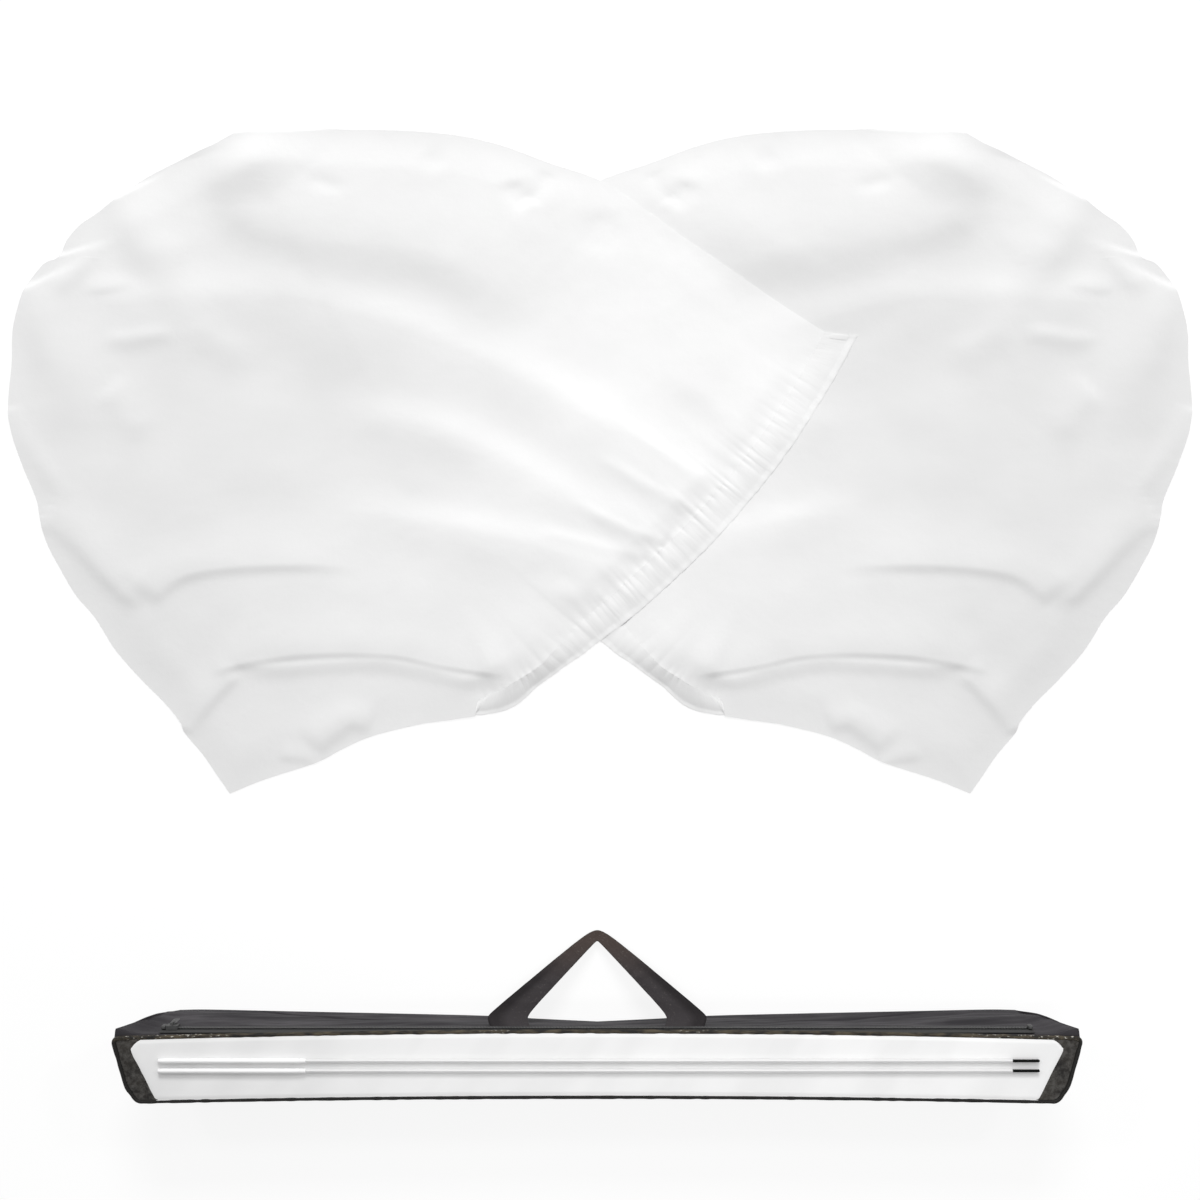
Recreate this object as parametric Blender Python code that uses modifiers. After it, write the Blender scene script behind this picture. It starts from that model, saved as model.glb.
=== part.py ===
"""Collapsible backdrop panel set, laid out flat on the ground.

Two white cloth panels with elastic-gathered hems, the left one over the right one, lie behind a long
carry bag. The bag lies on its back with its pale front up, and two poles with sliding rods rest on that
front. +X runs to the right, +Y away from the viewer and +Z up. The origin is on the ground, under the
middle of the set. All sizes are in metres.
"""

import math

import bmesh
import bpy
import numpy as np
from mathutils import Matrix, Vector

# Layout on the ground
LAYOUT_HALF_DEPTH = 0.5235      # middle of the set to the panels' top edge, and to the bag's lower edge
HEM_PAST_MIDDLE = 0.283         # how far a panel's hem corner reaches past the middle of the set
BAG_MIDDLE_X = -0.003

# Cloth panels
PANEL_WIDTH = 0.934             # outer edge to the free edge of the gathered hem
PANEL_HEIGHT = 0.737            # lower corner to the highest point of the top edge
CLOTH_THICKNESS = 0.0015
CLOTH_STEPS_OUT = 27            # faces from the hem to the outer edge
CLOTH_STEPS_DOWN = 20           # faces from the top edge to the bottom edge
FOLD_HEIGHT = 0.020             # crest of the tallest fold over the ground
FOLD_HALF_WIDTH = 0.050         # half width of the widest fold
HEM_FLAT_SHARE = 0.14           # share of the panel beside the hem in which the folds die out
RIM_FLAT_SHARE = 0.07           # share of the panel beside the outer edge in which they sink
RIM_FOLD_SHARE = 0.3            # share of a fold's height that is left at the outer edge

# Gathered hem: a folded casing with an elastic band in it
CASING_WIDTH = 0.030
CASING_CLOTH = 0.0008
HEM_SEAM = 0.0006               # gap between the cloth's gathered edge and the casing
CASING_HEADING = 0.008          # ruffled edge beyond the channel
ELASTIC_WIDTH = 0.016
ELASTIC_THICKNESS = 0.0012
CHANNEL_CLEARANCE = 0.0004
RUFFLE_COUNT = 12
RUFFLE_HEIGHT = 0.002
RUFFLE_STEPS = 4                # faces along each ruffle
TACK_LENGTH = 0.006             # bar tack that closes each end of the casing
TACK_WIDTH = 0.022
TACK_ROUNDING = 0.0008

# How the upper panel rides over the lower one
OVERLAP_MARGIN = 0.015          # full lift starts this far outside the lower panel
OVERLAP_RAMP = 0.035            # and fades out over this run

# Carry bag, lying on its back
BAG_LENGTH = 1.0095             # along the rim's upper edge
BAG_RIM_WIDTH = 0.069
BAG_HEIGHT = 0.085
RIM_TAPER = 0.018               # each end of the rim's lower edge stands in by this
BASE_INSET_X = 0.027            # the back panel is shorter than the rim by this at each end
BASE_INSET_Y = 0.006            # and narrower by this at its lower side
BAG_WALL = 0.0016
END_BORDER = 0.019              # dark border at each end of the pale front
BOARD_THICKNESS = 0.002
BOARD_INSET = 0.006
PIPING_RADIUS = 0.0022
PIPING_CORNER_STEPS = 4

# Zip on the upper gusset
ZIP_BELOW_TOP = 0.0180          # middle of the zip under the top of the bag
ZIP_TAPE_WIDTH = 0.024
ZIP_TAPE_THICKNESS = 0.0008
ZIP_CHAIN_WIDTH = 0.005
ZIP_CHAIN_THICKNESS = 0.002
ZIP_END_MARGIN = 0.045          # the zip stops short of the rim's corners by this
ZIP_STOP_LENGTH = 0.005
SLIDER_LENGTH = 0.012
SLIDER_WIDTH = 0.0095
SLIDER_CAP = 0.002              # wall of the slider in front of the chain
BAIL_SPREAD = 0.0070
BAIL_REACH = 0.0032
BAIL_WIRE = 0.0006
BAIL_ROOT = 0.0008              # how far the bail's ends are set into the slider
BAIL_STEPS = 8
PULL_LENGTH = 0.020
PULL_WIDTH = 0.007
PULL_THICKNESS = 0.0012
PULL_BAR = 0.0012               # bar of the pull that turns in the slider's bail
PULL_SLOT_LENGTH = 0.0052
PULL_SLOT_WIDTH = 0.0034

# Carry handle
HANDLE_SPAN = 0.241             # outer edge to outer edge at the anchors
HANDLE_REACH = 0.0918           # hinge line to the top of the loop
HANDLE_STRAP_WIDTH = 0.043      # strap at the anchors, measured along the bag
HANDLE_TOP_WIDTH = 0.012        # strap at the folded top of the loop
HANDLE_TOP_RADIUS = 0.016
HANDLE_TOP_STEPS = 8
HANDLE_THICKNESS = 0.0024
HANDLE_AXIS_HEIGHT = 0.034
HANDLE_STANDOFF = 0.0060        # hinge line in front of the gusset
HANDLE_TOP_HEIGHT = 0.0035      # middle of the strap above the ground at the top of the loop
HANDLE_TAIL = 0.0008            # strap that reaches past the hinge line towards its anchor
ANCHOR_BELOW_AXIS = 0.004       # the strap's sewn ends start this far under the hinge line
ANCHOR_UNDER_ZIP = 0.0005       # and run up the gusset to this far under the zip tape

# Poles
POLE_LENGTH = 0.920
POLE_GRIP_LENGTH = 0.154
POLE_GRIP_RADIUS = 0.00245
POLE_BORE_RADIUS = 0.00205
POLE_ROD_RADIUS = 0.0014
POLE_ROD_BORE = 0.00085
POLE_PEG_RADIUS = 0.0006        # pegs of the tip and the stop, glued into the rod's bore
POLE_PEG_LENGTH = 0.012
POLE_TIP_RADIUS = 0.0015
POLE_TIP_LENGTH = 0.028
POLE_TIP_ROUNDING = 0.0006
POLE_NOSE_LENGTH = 0.006
POLE_NOSE_MOUTH = 0.0020        # outside radius at the nose's small end
POLE_SHANK_LENGTH = 0.006       # how far the nose and the end plug reach into the grip
POLE_STOP_LENGTH = 0.005
POLE_PLUG_HEAD = 0.002
POLE_CLEARANCE = 0.00025        # radial clearance of the rod in the nose, and of what fills the grip's bore
POLE_SPACING = 0.0104
POLE_FROM_RIM = 0.0263          # upper pole to the rim's upper edge
POLE_FROM_BAG_END = 0.0464      # left end of the poles to the left end of the rim

SEAM_GAP = 0.0003               # gap between pieces that are sewn or seated together
ROUND_STEPS = 16
CURVE_FINENESS = 24             # steps in each stretch of a smooth curve
EDGE_POINTS = 240               # points along each edge of a panel
CREST_POINTS = 60               # points along each fold's crest

# The panel's outline, as shares of its width and height from the lower left corner of its box
TOP_EDGE = [(0.951, 0.670), (0.862, 0.773), (0.745, 0.879), (0.697, 0.916), (0.638, 0.942),
            (0.527, 0.985), (0.368, 0.994), (0.315, 1.000), (0.271, 0.990)]
OUTER_EDGE = [(0.271, 0.990), (0.223, 0.963), (0.156, 0.919), (0.109, 0.873), (0.062, 0.805),
              (0.026, 0.763), (0.011, 0.716), (0.000, 0.582), (0.020, 0.470), (0.060, 0.336),
              (0.111, 0.246), (0.165, 0.157), (0.225, 0.067), (0.262, 0.000)]
BOTTOM_EDGE = [(0.585, 0.147), (0.540, 0.120), (0.474, 0.103), (0.421, 0.079), (0.368, 0.048),
               (0.315, 0.025), (0.262, 0.000)]
STITCH_LINE = [(0.951, 0.670), (0.886, 0.534), (0.803, 0.408), (0.703, 0.291), (0.643, 0.219),
               (0.585, 0.147)]

# Main folds of the cloth: crest line in the same shares, then the crest's share of FOLD_HEIGHT and the
# fold's share of FOLD_HALF_WIDTH
FOLDS = [
    ([(0.33, 0.910), (0.43, 0.903), (0.54, 0.888)], 1.0, 1.0),
    ([(0.085, 0.739), (0.25, 0.754), (0.333, 0.761), (0.403, 0.746), (0.486, 0.709), (0.58, 0.634),
      (0.70, 0.545)], 0.65, 0.52),
    ([(0.185, 0.900), (0.185, 0.800)], 0.50, 0.40),
    ([(0.079, 0.800), (0.103, 0.769)], 0.40, 0.36),
    ([(0.391, 0.582), (0.521, 0.545), (0.603, 0.508), (0.697, 0.448), (0.756, 0.410)], 0.50, 0.44),
    ([(0.415, 0.433), (0.521, 0.410), (0.603, 0.388), (0.697, 0.358)], 0.45, 0.40),
    ([(0.062, 0.403), (0.109, 0.343), (0.168, 0.284), (0.215, 0.336), (0.274, 0.342), (0.356, 0.343)],
     0.55, 0.40),
    ([(0.232, 0.134), (0.274, 0.199), (0.344, 0.205), (0.403, 0.209), (0.486, 0.199), (0.56, 0.187)],
     0.65, 0.40),
]

# Finishes: colour, roughness, metallic
FINISHES = {
    "panel_cloth": ((0.86, 0.86, 0.87), 0.55, 0.0),
    "hem_elastic": ((0.80, 0.80, 0.78), 0.80, 0.0),
    "front_cloth": ((0.84, 0.84, 0.84), 0.60, 0.0),
    "bag_cloth": ((0.045, 0.043, 0.047), 0.75, 0.0),
    "stiffener": ((0.55, 0.52, 0.46), 0.85, 0.0),
    "piping": ((0.03, 0.03, 0.03), 0.60, 0.0),
    "zip_tape": ((0.06, 0.055, 0.05), 0.80, 0.0),
    "zip_metal": ((0.45, 0.44, 0.42), 0.35, 1.0),
    "strap": ((0.06, 0.052, 0.052), 0.80, 0.0),
    "pole_white": ((0.88, 0.88, 0.88), 0.35, 0.0),
    "pole_black": ((0.012, 0.012, 0.012), 0.55, 0.0),
}

# Values worked out from the sizes above
PANEL_LEFT = HEM_PAST_MIDDLE - PANEL_WIDTH
PANEL_BOTTOM = LAYOUT_HALF_DEPTH - PANEL_HEIGHT
CHANNEL_HEIGHT = ELASTIC_THICKNESS + 2 * CHANNEL_CLEARANCE
CASING_HEIGHT = CHANNEL_HEIGHT + 2 * CASING_CLOTH
OVERLAP_LIFT = CASING_HEIGHT + RUFFLE_HEIGHT + SEAM_GAP

RIM_SOUTH = -LAYOUT_HALF_DEPTH
RIM_NORTH = RIM_SOUTH + BAG_RIM_WIDTH
BASE_SOUTH = RIM_SOUTH + BASE_INSET_Y
WALL_BOTTOM = BAG_WALL + SEAM_GAP
WALL_TOP = BAG_HEIGHT - 2 * PIPING_RADIUS - SEAM_GAP
FRONT_EDGE = 2 * PIPING_RADIUS + SEAM_GAP

ZIP_HEIGHT = BAG_HEIGHT - ZIP_BELOW_TOP
ZIP_HALF_LENGTH = BAG_LENGTH / 2 - ZIP_END_MARGIN
TAPE_BACK = RIM_NORTH + SEAM_GAP
CHAIN_BACK = TAPE_BACK + ZIP_TAPE_THICKNESS + SEAM_GAP
CHAIN_FRONT = CHAIN_BACK + ZIP_CHAIN_THICKNESS
SLIDER_FRONT = CHAIN_FRONT + SEAM_GAP + SLIDER_CAP
SLIDER_X = BAG_MIDDLE_X - ZIP_HALF_LENGTH + ZIP_STOP_LENGTH + SEAM_GAP + SLIDER_LENGTH / 2
PULL_AXIS_Y = SLIDER_FRONT + (BAIL_REACH - BAIL_WIRE) / 2

HANDLE_AXIS_Y = RIM_NORTH + HANDLE_STANDOFF
HANDLE_TILT = math.asin((HANDLE_AXIS_HEIGHT - HANDLE_TOP_HEIGHT) / HANDLE_REACH)
ANCHOR_FRONT = HANDLE_AXIS_Y - math.hypot(HANDLE_TAIL, HANDLE_THICKNESS / 2) - SEAM_GAP

POLE_LEFT = BAG_MIDDLE_X - BAG_LENGTH / 2 + POLE_FROM_BAG_END
POLE_HEIGHT = BAG_HEIGHT + SEAM_GAP + POLE_GRIP_RADIUS


# Objects, finishes and bodies


def clear_scene():
    for obj in list(bpy.data.objects):
        bpy.data.objects.remove(obj, do_unlink=True)


def make_collection(name):
    made = bpy.data.collections.new(name)
    bpy.context.scene.collection.children.link(made)
    return made


def finish(name):
    material = bpy.data.materials.get(name)
    if material is None:
        colour, roughness, metallic = FINISHES[name]
        material = bpy.data.materials.new(name)
        material.use_nodes = True
        shader = material.node_tree.nodes["Principled BSDF"]
        shader.inputs["Base Color"].default_value = (*colour, 1.0)
        shader.inputs["Roughness"].default_value = roughness
        shader.inputs["Metallic"].default_value = metallic
    return material


def move_to(obj, target):
    for owner in list(obj.users_collection):
        owner.objects.unlink(obj)
    target.objects.link(obj)


def body(name, axis_point=(0.0, 0.0, 0.0)):
    """An empty on a body's joint axis, which carries the body's pieces."""
    empty = bpy.data.objects.new(name, None)
    empty.empty_display_size = 0.02
    empty.location = axis_point
    SET.objects.link(empty)
    return empty


def dress(obj, name, finish_name, carrier):
    """Names a piece, gives it its finish and hangs it on its body without moving it."""
    obj.name = name
    obj.data.name = name
    obj.data.materials.clear()
    obj.data.materials.append(finish(finish_name))
    move_to(obj, SET)
    obj.parent = carrier
    obj.matrix_parent_inverse = Matrix.Translation(-carrier.location)
    return obj


def as_cutter(obj, name):
    obj.name = name
    obj.hide_render = True
    obj.display_type = "WIRE"
    move_to(obj, CUTTERS)
    return obj


def round_edges(obj, width, segments=2):
    bevel = obj.modifiers.new("round_edges", "BEVEL")
    bevel.width = width
    bevel.segments = segments


def quad(x0, x1, y0, y1, z):
    return [(x0, y0, z), (x1, y0, z), (x1, y1, z), (x0, y1, z)]


def block(low_quad, high_quad):
    """A six-sided block between two quads, each given south-west, south-east, north-east, north-west."""
    bpy.ops.mesh.primitive_cube_add(size=2)
    obj = bpy.context.active_object
    corner = {(-1, -1): 0, (1, -1): 1, (1, 1): 2, (-1, 1): 3}
    for vertex in obj.data.vertices:
        x, y, z = (round(value) for value in vertex.co)
        vertex.co = (high_quad if z > 0 else low_quad)[corner[x, y]]
    return obj


def box(x0, x1, y0, y1, z0, z1):
    return block(quad(x0, x1, y0, y1, z0), quad(x0, x1, y0, y1, z1))


def sheet(steps_u, steps_v, surface, thickness, offset):
    """A grid laid on surface(u, v), with u and v from 0 to 1, given a wall. Offset 1 puts it above."""
    bpy.ops.mesh.primitive_grid_add(x_subdivisions=steps_u, y_subdivisions=steps_v, size=1)
    obj = bpy.context.active_object
    flat = np.empty(3 * len(obj.data.vertices))
    obj.data.vertices.foreach_get("co", flat)
    flat = flat.reshape(-1, 3) + 0.5
    obj.data.vertices.foreach_set("co", surface(flat[:, 0], flat[:, 1]).ravel())
    obj.data.update()
    wall = obj.modifiers.new("wall", "SOLIDIFY")
    wall.thickness = thickness
    wall.offset = offset
    return obj


def turned(profile, closed=False):
    """A turned shape from a profile of (radius, height) points that runs down its outer side."""
    mesh = bpy.data.meshes.new("profile")
    points = [(radius, 0.0, height) for radius, height in profile]
    edges = [(i, i + 1) for i in range(len(points) - 1)]
    if closed:
        edges.append((len(points) - 1, 0))
    mesh.from_pydata(points, edges, [])
    obj = bpy.data.objects.new("turned", mesh)
    SET.objects.link(obj)
    screw = obj.modifiers.new("turn", "SCREW")
    screw.steps = ROUND_STEPS
    screw.render_steps = ROUND_STEPS
    screw.use_merge_vertices = True
    screw.merge_threshold = 0.00001
    screw.use_smooth_shade = True
    return obj


def poly_curve(points, dimensions="3D", closed=False):
    curve = bpy.data.curves.new("line", "CURVE")
    curve.dimensions = dimensions
    add_spline(curve, points, closed)
    obj = bpy.data.objects.new("line", curve)
    SET.objects.link(obj)
    return obj


def add_spline(curve, points, closed):
    spline = curve.splines.new("POLY")
    spline.points.add(len(points) - 1)
    for point, place in zip(spline.points, points):
        point.co = (*Vector(place).to_3d(), 1.0)
    spline.use_cyclic_u = closed


def plate(outlines, thickness):
    """A flat plate in its own XY plane from a closed outline and the outlines of any holes in it."""
    obj = poly_curve(outlines[0], "2D", closed=True)
    for hole in outlines[1:]:
        add_spline(obj.data, hole, closed=True)
    obj.data.fill_mode = "BOTH"
    obj.data.extrude = thickness / 2
    return obj


def mesh_of(curve_obj):
    """The welded mesh of a curve object, in place of the curve."""
    bpy.context.view_layer.update()
    evaluated = curve_obj.evaluated_get(bpy.context.evaluated_depsgraph_get())
    mesh = bpy.data.meshes.new_from_object(evaluated)
    welded = bmesh.new()
    welded.from_mesh(mesh)
    bmesh.ops.remove_doubles(welded, verts=welded.verts, dist=0.00001)
    welded.to_mesh(mesh)
    welded.free()
    obj = bpy.data.objects.new("made", mesh)
    obj.matrix_world = curve_obj.matrix_world
    SET.objects.link(obj)
    bpy.data.objects.remove(curve_obj, do_unlink=True)
    return obj


def boolean(obj, other, operation):
    cut = obj.modifiers.new(operation.lower(), "BOOLEAN")
    cut.object = other
    cut.operation = operation


# Smooth lines on the cloth


def smooth_curve(points, count):
    """Points at even steps along a Catmull-Rom curve through the given points."""
    given = np.array(points, dtype=float)
    run = np.vstack([2 * given[0] - given[1], given, 2 * given[-1] - given[-2]])
    t = np.linspace(0, 1, CURVE_FINENESS, endpoint=False)[:, None]
    stretches = []
    for a, b, c, d in zip(run, run[1:], run[2:], run[3:]):
        bend = (2 * a - 5 * b + 4 * c - d) * t**2 + (3 * b - a - 3 * c + d) * t**3
        stretches.append((2 * b + (c - a) * t + bend) / 2)
    fine = np.vstack([*stretches, given[-1:]])
    length = np.concatenate([[0.0], np.cumsum(np.linalg.norm(np.diff(fine, axis=0), axis=1))])
    even = np.linspace(0, length[-1], count)
    return np.stack([np.interp(even, length, fine[:, axis]) for axis in (0, 1)], axis=1)


def on_panel(shares):
    """Places in metres from shares of the panel's width and height."""
    return np.array(shares) * (PANEL_WIDTH, PANEL_HEIGHT) + (PANEL_LEFT, PANEL_BOTTOM)


def along(curve, share):
    steps = np.linspace(0, 1, len(curve))
    return np.stack([np.interp(share, steps, curve[:, axis]) for axis in (0, 1)], axis=-1)


def smooth_step(value):
    value = np.clip(value, 0.0, 1.0)
    return value * value * (3 - 2 * value)


def right_hand_normals(curve):
    tangent = np.gradient(curve, axis=0)
    tangent /= np.linalg.norm(tangent, axis=1)[:, None]
    return np.stack([tangent[:, 1], -tangent[:, 0]], axis=1)


def nearest(places, curve):
    """Distance from each place to a curve, and how far it lies on the curve's right-hand side."""
    offset = places[:, None, :] - curve[None, :, :]
    distance = np.linalg.norm(offset, axis=2)
    index = distance.argmin(axis=1)
    rows = np.arange(len(places))
    side = np.einsum("ij,ij->i", offset[rows, index], right_hand_normals(curve)[index])
    return distance[rows, index], np.sign(side) * distance[rows, index]


TOP_CURVE = smooth_curve(on_panel(TOP_EDGE), EDGE_POINTS)
OUTER_CURVE = smooth_curve(on_panel(OUTER_EDGE), EDGE_POINTS)
BOTTOM_CURVE = smooth_curve(on_panel(BOTTOM_EDGE), EDGE_POINTS)
STITCH_CURVE = smooth_curve(on_panel(STITCH_LINE), CLOTH_STEPS_DOWN + 1)
HEM_OUTWARD = -right_hand_normals(STITCH_CURVE)
HEADING_CURVE = STITCH_CURVE + CASING_WIDTH * HEM_OUTWARD


def panel_patch(u, v):
    """A Coons patch between the panel's four edges: u runs from the hem out, v from the top edge down."""
    u, v = u[:, None], v[:, None]
    hem, outer = along(STITCH_CURVE, v[:, 0]), along(OUTER_CURVE, v[:, 0])
    top, bottom = along(TOP_CURVE, u[:, 0]), along(BOTTOM_CURVE, u[:, 0])
    across = (1 - u) * hem + u * outer
    down = (1 - v) * top + v * bottom
    upper_corners = (1 - u) * STITCH_CURVE[0] + u * OUTER_CURVE[0]
    lower_corners = (1 - u) * STITCH_CURVE[-1] + u * OUTER_CURVE[-1]
    return across + down - (1 - v) * upper_corners - v * lower_corners


def fold_height(places):
    """Height of the folds: a rounded ridge along each crest line."""
    height = np.zeros(len(places))
    for crest, height_share, width_share in FOLDS:
        distance, _ = nearest(places, smooth_curve(on_panel(crest), CREST_POINTS))
        half_width = FOLD_HALF_WIDTH * width_share
        height += FOLD_HEIGHT * height_share * np.exp(-((distance / half_width) ** 2))
    return height


def overlap_share(places):
    """1 where a panel lies on or under its mirror image across the middle, fading to 0 away from it."""
    mirrored = places * (-1, 1)
    _, inside_hem = nearest(mirrored, HEADING_CURVE)
    _, outside_top = nearest(mirrored, TOP_CURVE)
    inside = np.minimum(inside_hem, -outside_top)
    return smooth_step((inside + OVERLAP_MARGIN + OVERLAP_RAMP) / OVERLAP_RAMP)


# Cloth panels


def cloth_surface(side):
    """The cloth's underside. The left panel rides over the right one, whose folds are pressed flat there."""

    def surface(u, v):
        places = panel_patch(u, v)
        share = overlap_share(places)
        at_rim = RIM_FOLD_SHARE + (1 - RIM_FOLD_SHARE) * smooth_step((1 - u) / RIM_FLAT_SHARE)
        height = fold_height(places) * smooth_step(u / HEM_FLAT_SHARE) * at_rim
        height = height + OVERLAP_LIFT * share if side == "left" else height * (1 - share)
        return np.column_stack([places * (side_sign(side), 1), height])

    return surface


def side_sign(side):
    return 1 if side == "left" else -1


def hem_rise(side, share_along):
    """How high the hem lies at each share of its length."""
    middle = along(STITCH_CURVE + CASING_WIDTH / 2 * HEM_OUTWARD, share_along)
    return OVERLAP_LIFT * overlap_share(middle) if side == "left" else np.zeros(len(middle))


def hem_point(side, share_along, out, height):
    """A place on the hem: a share of its length, a distance out from the stitch line, a height."""
    places = along(STITCH_CURVE, share_along) + out[:, None] * along(HEM_OUTWARD, share_along)
    return np.column_stack([places * (side_sign(side), 1), height + hem_rise(side, share_along)])


def casing_surface(side):
    """Cloth folded round the channel, with a ruffled heading beyond it. v goes round the fold."""
    lower = CASING_CLOTH / 2
    upper = CASING_HEIGHT - CASING_CLOTH / 2
    start = HEM_SEAM
    heading = CASING_WIDTH - CASING_HEADING
    fold_edge = CASING_WIDTH - CASING_CLOTH / 2
    outs = np.array([start, heading, fold_edge, heading, start])
    heights = np.array([lower, lower, (lower + upper) / 2, upper, upper])

    def surface(u, v):
        stations = np.linspace(0, 1, len(outs))
        out = np.interp(v, stations, outs)
        ruffle = RUFFLE_HEIGHT * (1 - np.cos(2 * np.pi * RUFFLE_COUNT * u)) / 2
        lift = ruffle * np.clip((out - heading) / (fold_edge - heading), 0, 1)
        return hem_point(side, u, out, np.interp(v, stations, heights) + lift)

    return surface


def elastic_surface(side):
    start = HEM_SEAM + (CASING_WIDTH - CASING_HEADING - HEM_SEAM - ELASTIC_WIDTH) / 2
    bed = CASING_CLOTH + CHANNEL_CLEARANCE + ELASTIC_THICKNESS / 2

    def surface(u, v):
        return hem_point(side, u, start + ELASTIC_WIDTH * v, np.full(len(u), bed))

    return surface


def hem_tack(side, end):
    """A bar tack across one end of the casing: end is 0 at the top and 1 at the bottom."""
    index = -end
    outward = HEM_OUTWARD[index]
    onward = np.array([outward[1], -outward[0]]) * (1 if end else -1)
    centre = STITCH_CURVE[index] + CASING_WIDTH / 2 * outward + (SEAM_GAP + TACK_LENGTH / 2) * onward
    half = TACK_LENGTH / 2, TACK_WIDTH / 2
    tack = box(-half[0], half[0], -half[1], half[1], 0.0, CASING_HEIGHT)
    rise = hem_rise(side, np.array([float(end)]))[0]
    tack.location = (side_sign(side) * centre[0], centre[1], rise)
    tack.rotation_euler[2] = side_sign(side) * math.atan2(onward[1], onward[0])
    round_edges(tack, TACK_ROUNDING)
    return tack


def make_panel(side, carrier):
    cloth = sheet(CLOTH_STEPS_OUT, CLOTH_STEPS_DOWN, cloth_surface(side), CLOTH_THICKNESS, 1)
    if side == "right":
        cloth.data.flip_normals()
    dress(cloth, f"{side}_panel_cloth", "panel_cloth", carrier)
    hem_steps = RUFFLE_COUNT * RUFFLE_STEPS
    casing = sheet(hem_steps, 4, casing_surface(side), CASING_CLOTH, 0)
    dress(casing, f"{side}_hem_casing", "panel_cloth", carrier)
    elastic = sheet(hem_steps, 1, elastic_surface(side), ELASTIC_THICKNESS, 0)
    dress(elastic, f"{side}_hem_elastic", "hem_elastic", carrier)
    for end, word in enumerate(("upper", "lower")):
        dress(hem_tack(side, end), f"{side}_hem_{word}_tack", "panel_cloth", carrier)


# Carry bag


def rim_half(y):
    """Half length of the rim at a place across it: the lower edge is shorter than the upper one."""
    return BAG_LENGTH / 2 - RIM_TAPER * (RIM_NORTH - y) / BAG_RIM_WIDTH


def across_bag(y_south, y_north, z, inset):
    """A quad across the whole bag at one height, standing in from the rim's ends."""
    south, north = rim_half(y_south) - inset, rim_half(y_north) - inset
    ends = ((-south, y_south), (south, y_south), (north, y_north), (-north, y_north))
    return [(BAG_MIDDLE_X + x, y, z) for x, y in ends]


def at_bag_end(sign, y_south, y_north, z, inset, width):
    """A quad at one end of the bag: a strip of the given width, standing in from the rim's end."""
    points = []
    for y, order in ((y_south, 1), (y_north, -1)):
        edges = sorted(sign * (rim_half(y) - inset - step) for step in (0.0, width))
        points += [(BAG_MIDDLE_X + x, y, z) for x in edges[::order]]
    return points


def make_bag_body(carrier):
    """The black shell: back panel, two gussets and two ends, with a stiffening board on the back."""
    back = block(across_bag(BASE_SOUTH, RIM_NORTH, 0.0, BASE_INSET_X),
                 across_bag(BASE_SOUTH, RIM_NORTH, BAG_WALL, BASE_INSET_X))
    dress(back, "bag_back_panel", "bag_cloth", carrier)

    top = block(across_bag(RIM_NORTH - BAG_WALL, RIM_NORTH, WALL_BOTTOM, BASE_INSET_X),
                across_bag(RIM_NORTH - BAG_WALL, RIM_NORTH, WALL_TOP, 0.0))
    dress(top, "bag_top_gusset", "bag_cloth", carrier)
    bottom = block(across_bag(BASE_SOUTH, BASE_SOUTH + BAG_WALL, WALL_BOTTOM, BASE_INSET_X),
                   across_bag(RIM_SOUTH, RIM_SOUTH + BAG_WALL, WALL_TOP, 0.0))
    dress(bottom, "bag_bottom_gusset", "bag_cloth", carrier)

    seam = BAG_WALL + SEAM_GAP
    for sign, word in ((-1, "left"), (1, "right")):
        end = block(
            at_bag_end(sign, BASE_SOUTH + seam, RIM_NORTH - seam, WALL_BOTTOM, BASE_INSET_X, BAG_WALL),
            at_bag_end(sign, RIM_SOUTH + seam, RIM_NORTH - seam, WALL_TOP, 0.0, BAG_WALL))
        dress(end, f"bag_{word}_end", "bag_cloth", carrier)

    inset = BASE_INSET_X + BOARD_INSET
    south, north = BASE_SOUTH + BOARD_INSET, RIM_NORTH - BOARD_INSET
    board = block(across_bag(south, north, WALL_BOTTOM, inset),
                  across_bag(south, north, WALL_BOTTOM + BOARD_THICKNESS, inset))
    dress(board, "bag_back_board", "stiffener", carrier)


def rim_piping():
    """A closed run of piping round the front, with its corners turned round a small arc."""
    south, north = RIM_SOUTH + PIPING_RADIUS, RIM_NORTH - PIPING_RADIUS
    z = BAG_HEIGHT - PIPING_RADIUS
    corners = [Vector(place).to_2d() for place in across_bag(south, north, z, PIPING_RADIUS)]
    turn = PIPING_RADIUS + SEAM_GAP
    points = []
    for index, corner in enumerate(corners):
        arriving = (corner - corners[index - 1]).normalized()
        leaving = (corners[(index + 1) % 4] - corner).normalized()
        for step in range(PIPING_CORNER_STEPS + 1):
            t = step / PIPING_CORNER_STEPS
            place = corner - arriving * turn * (1 - t) ** 2 + leaving * turn * t**2
            points.append((place.x, place.y, z))
    piping = poly_curve(points, closed=True)
    piping.data.bevel_depth = PIPING_RADIUS
    piping.data.bevel_resolution = 2
    return piping


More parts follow.
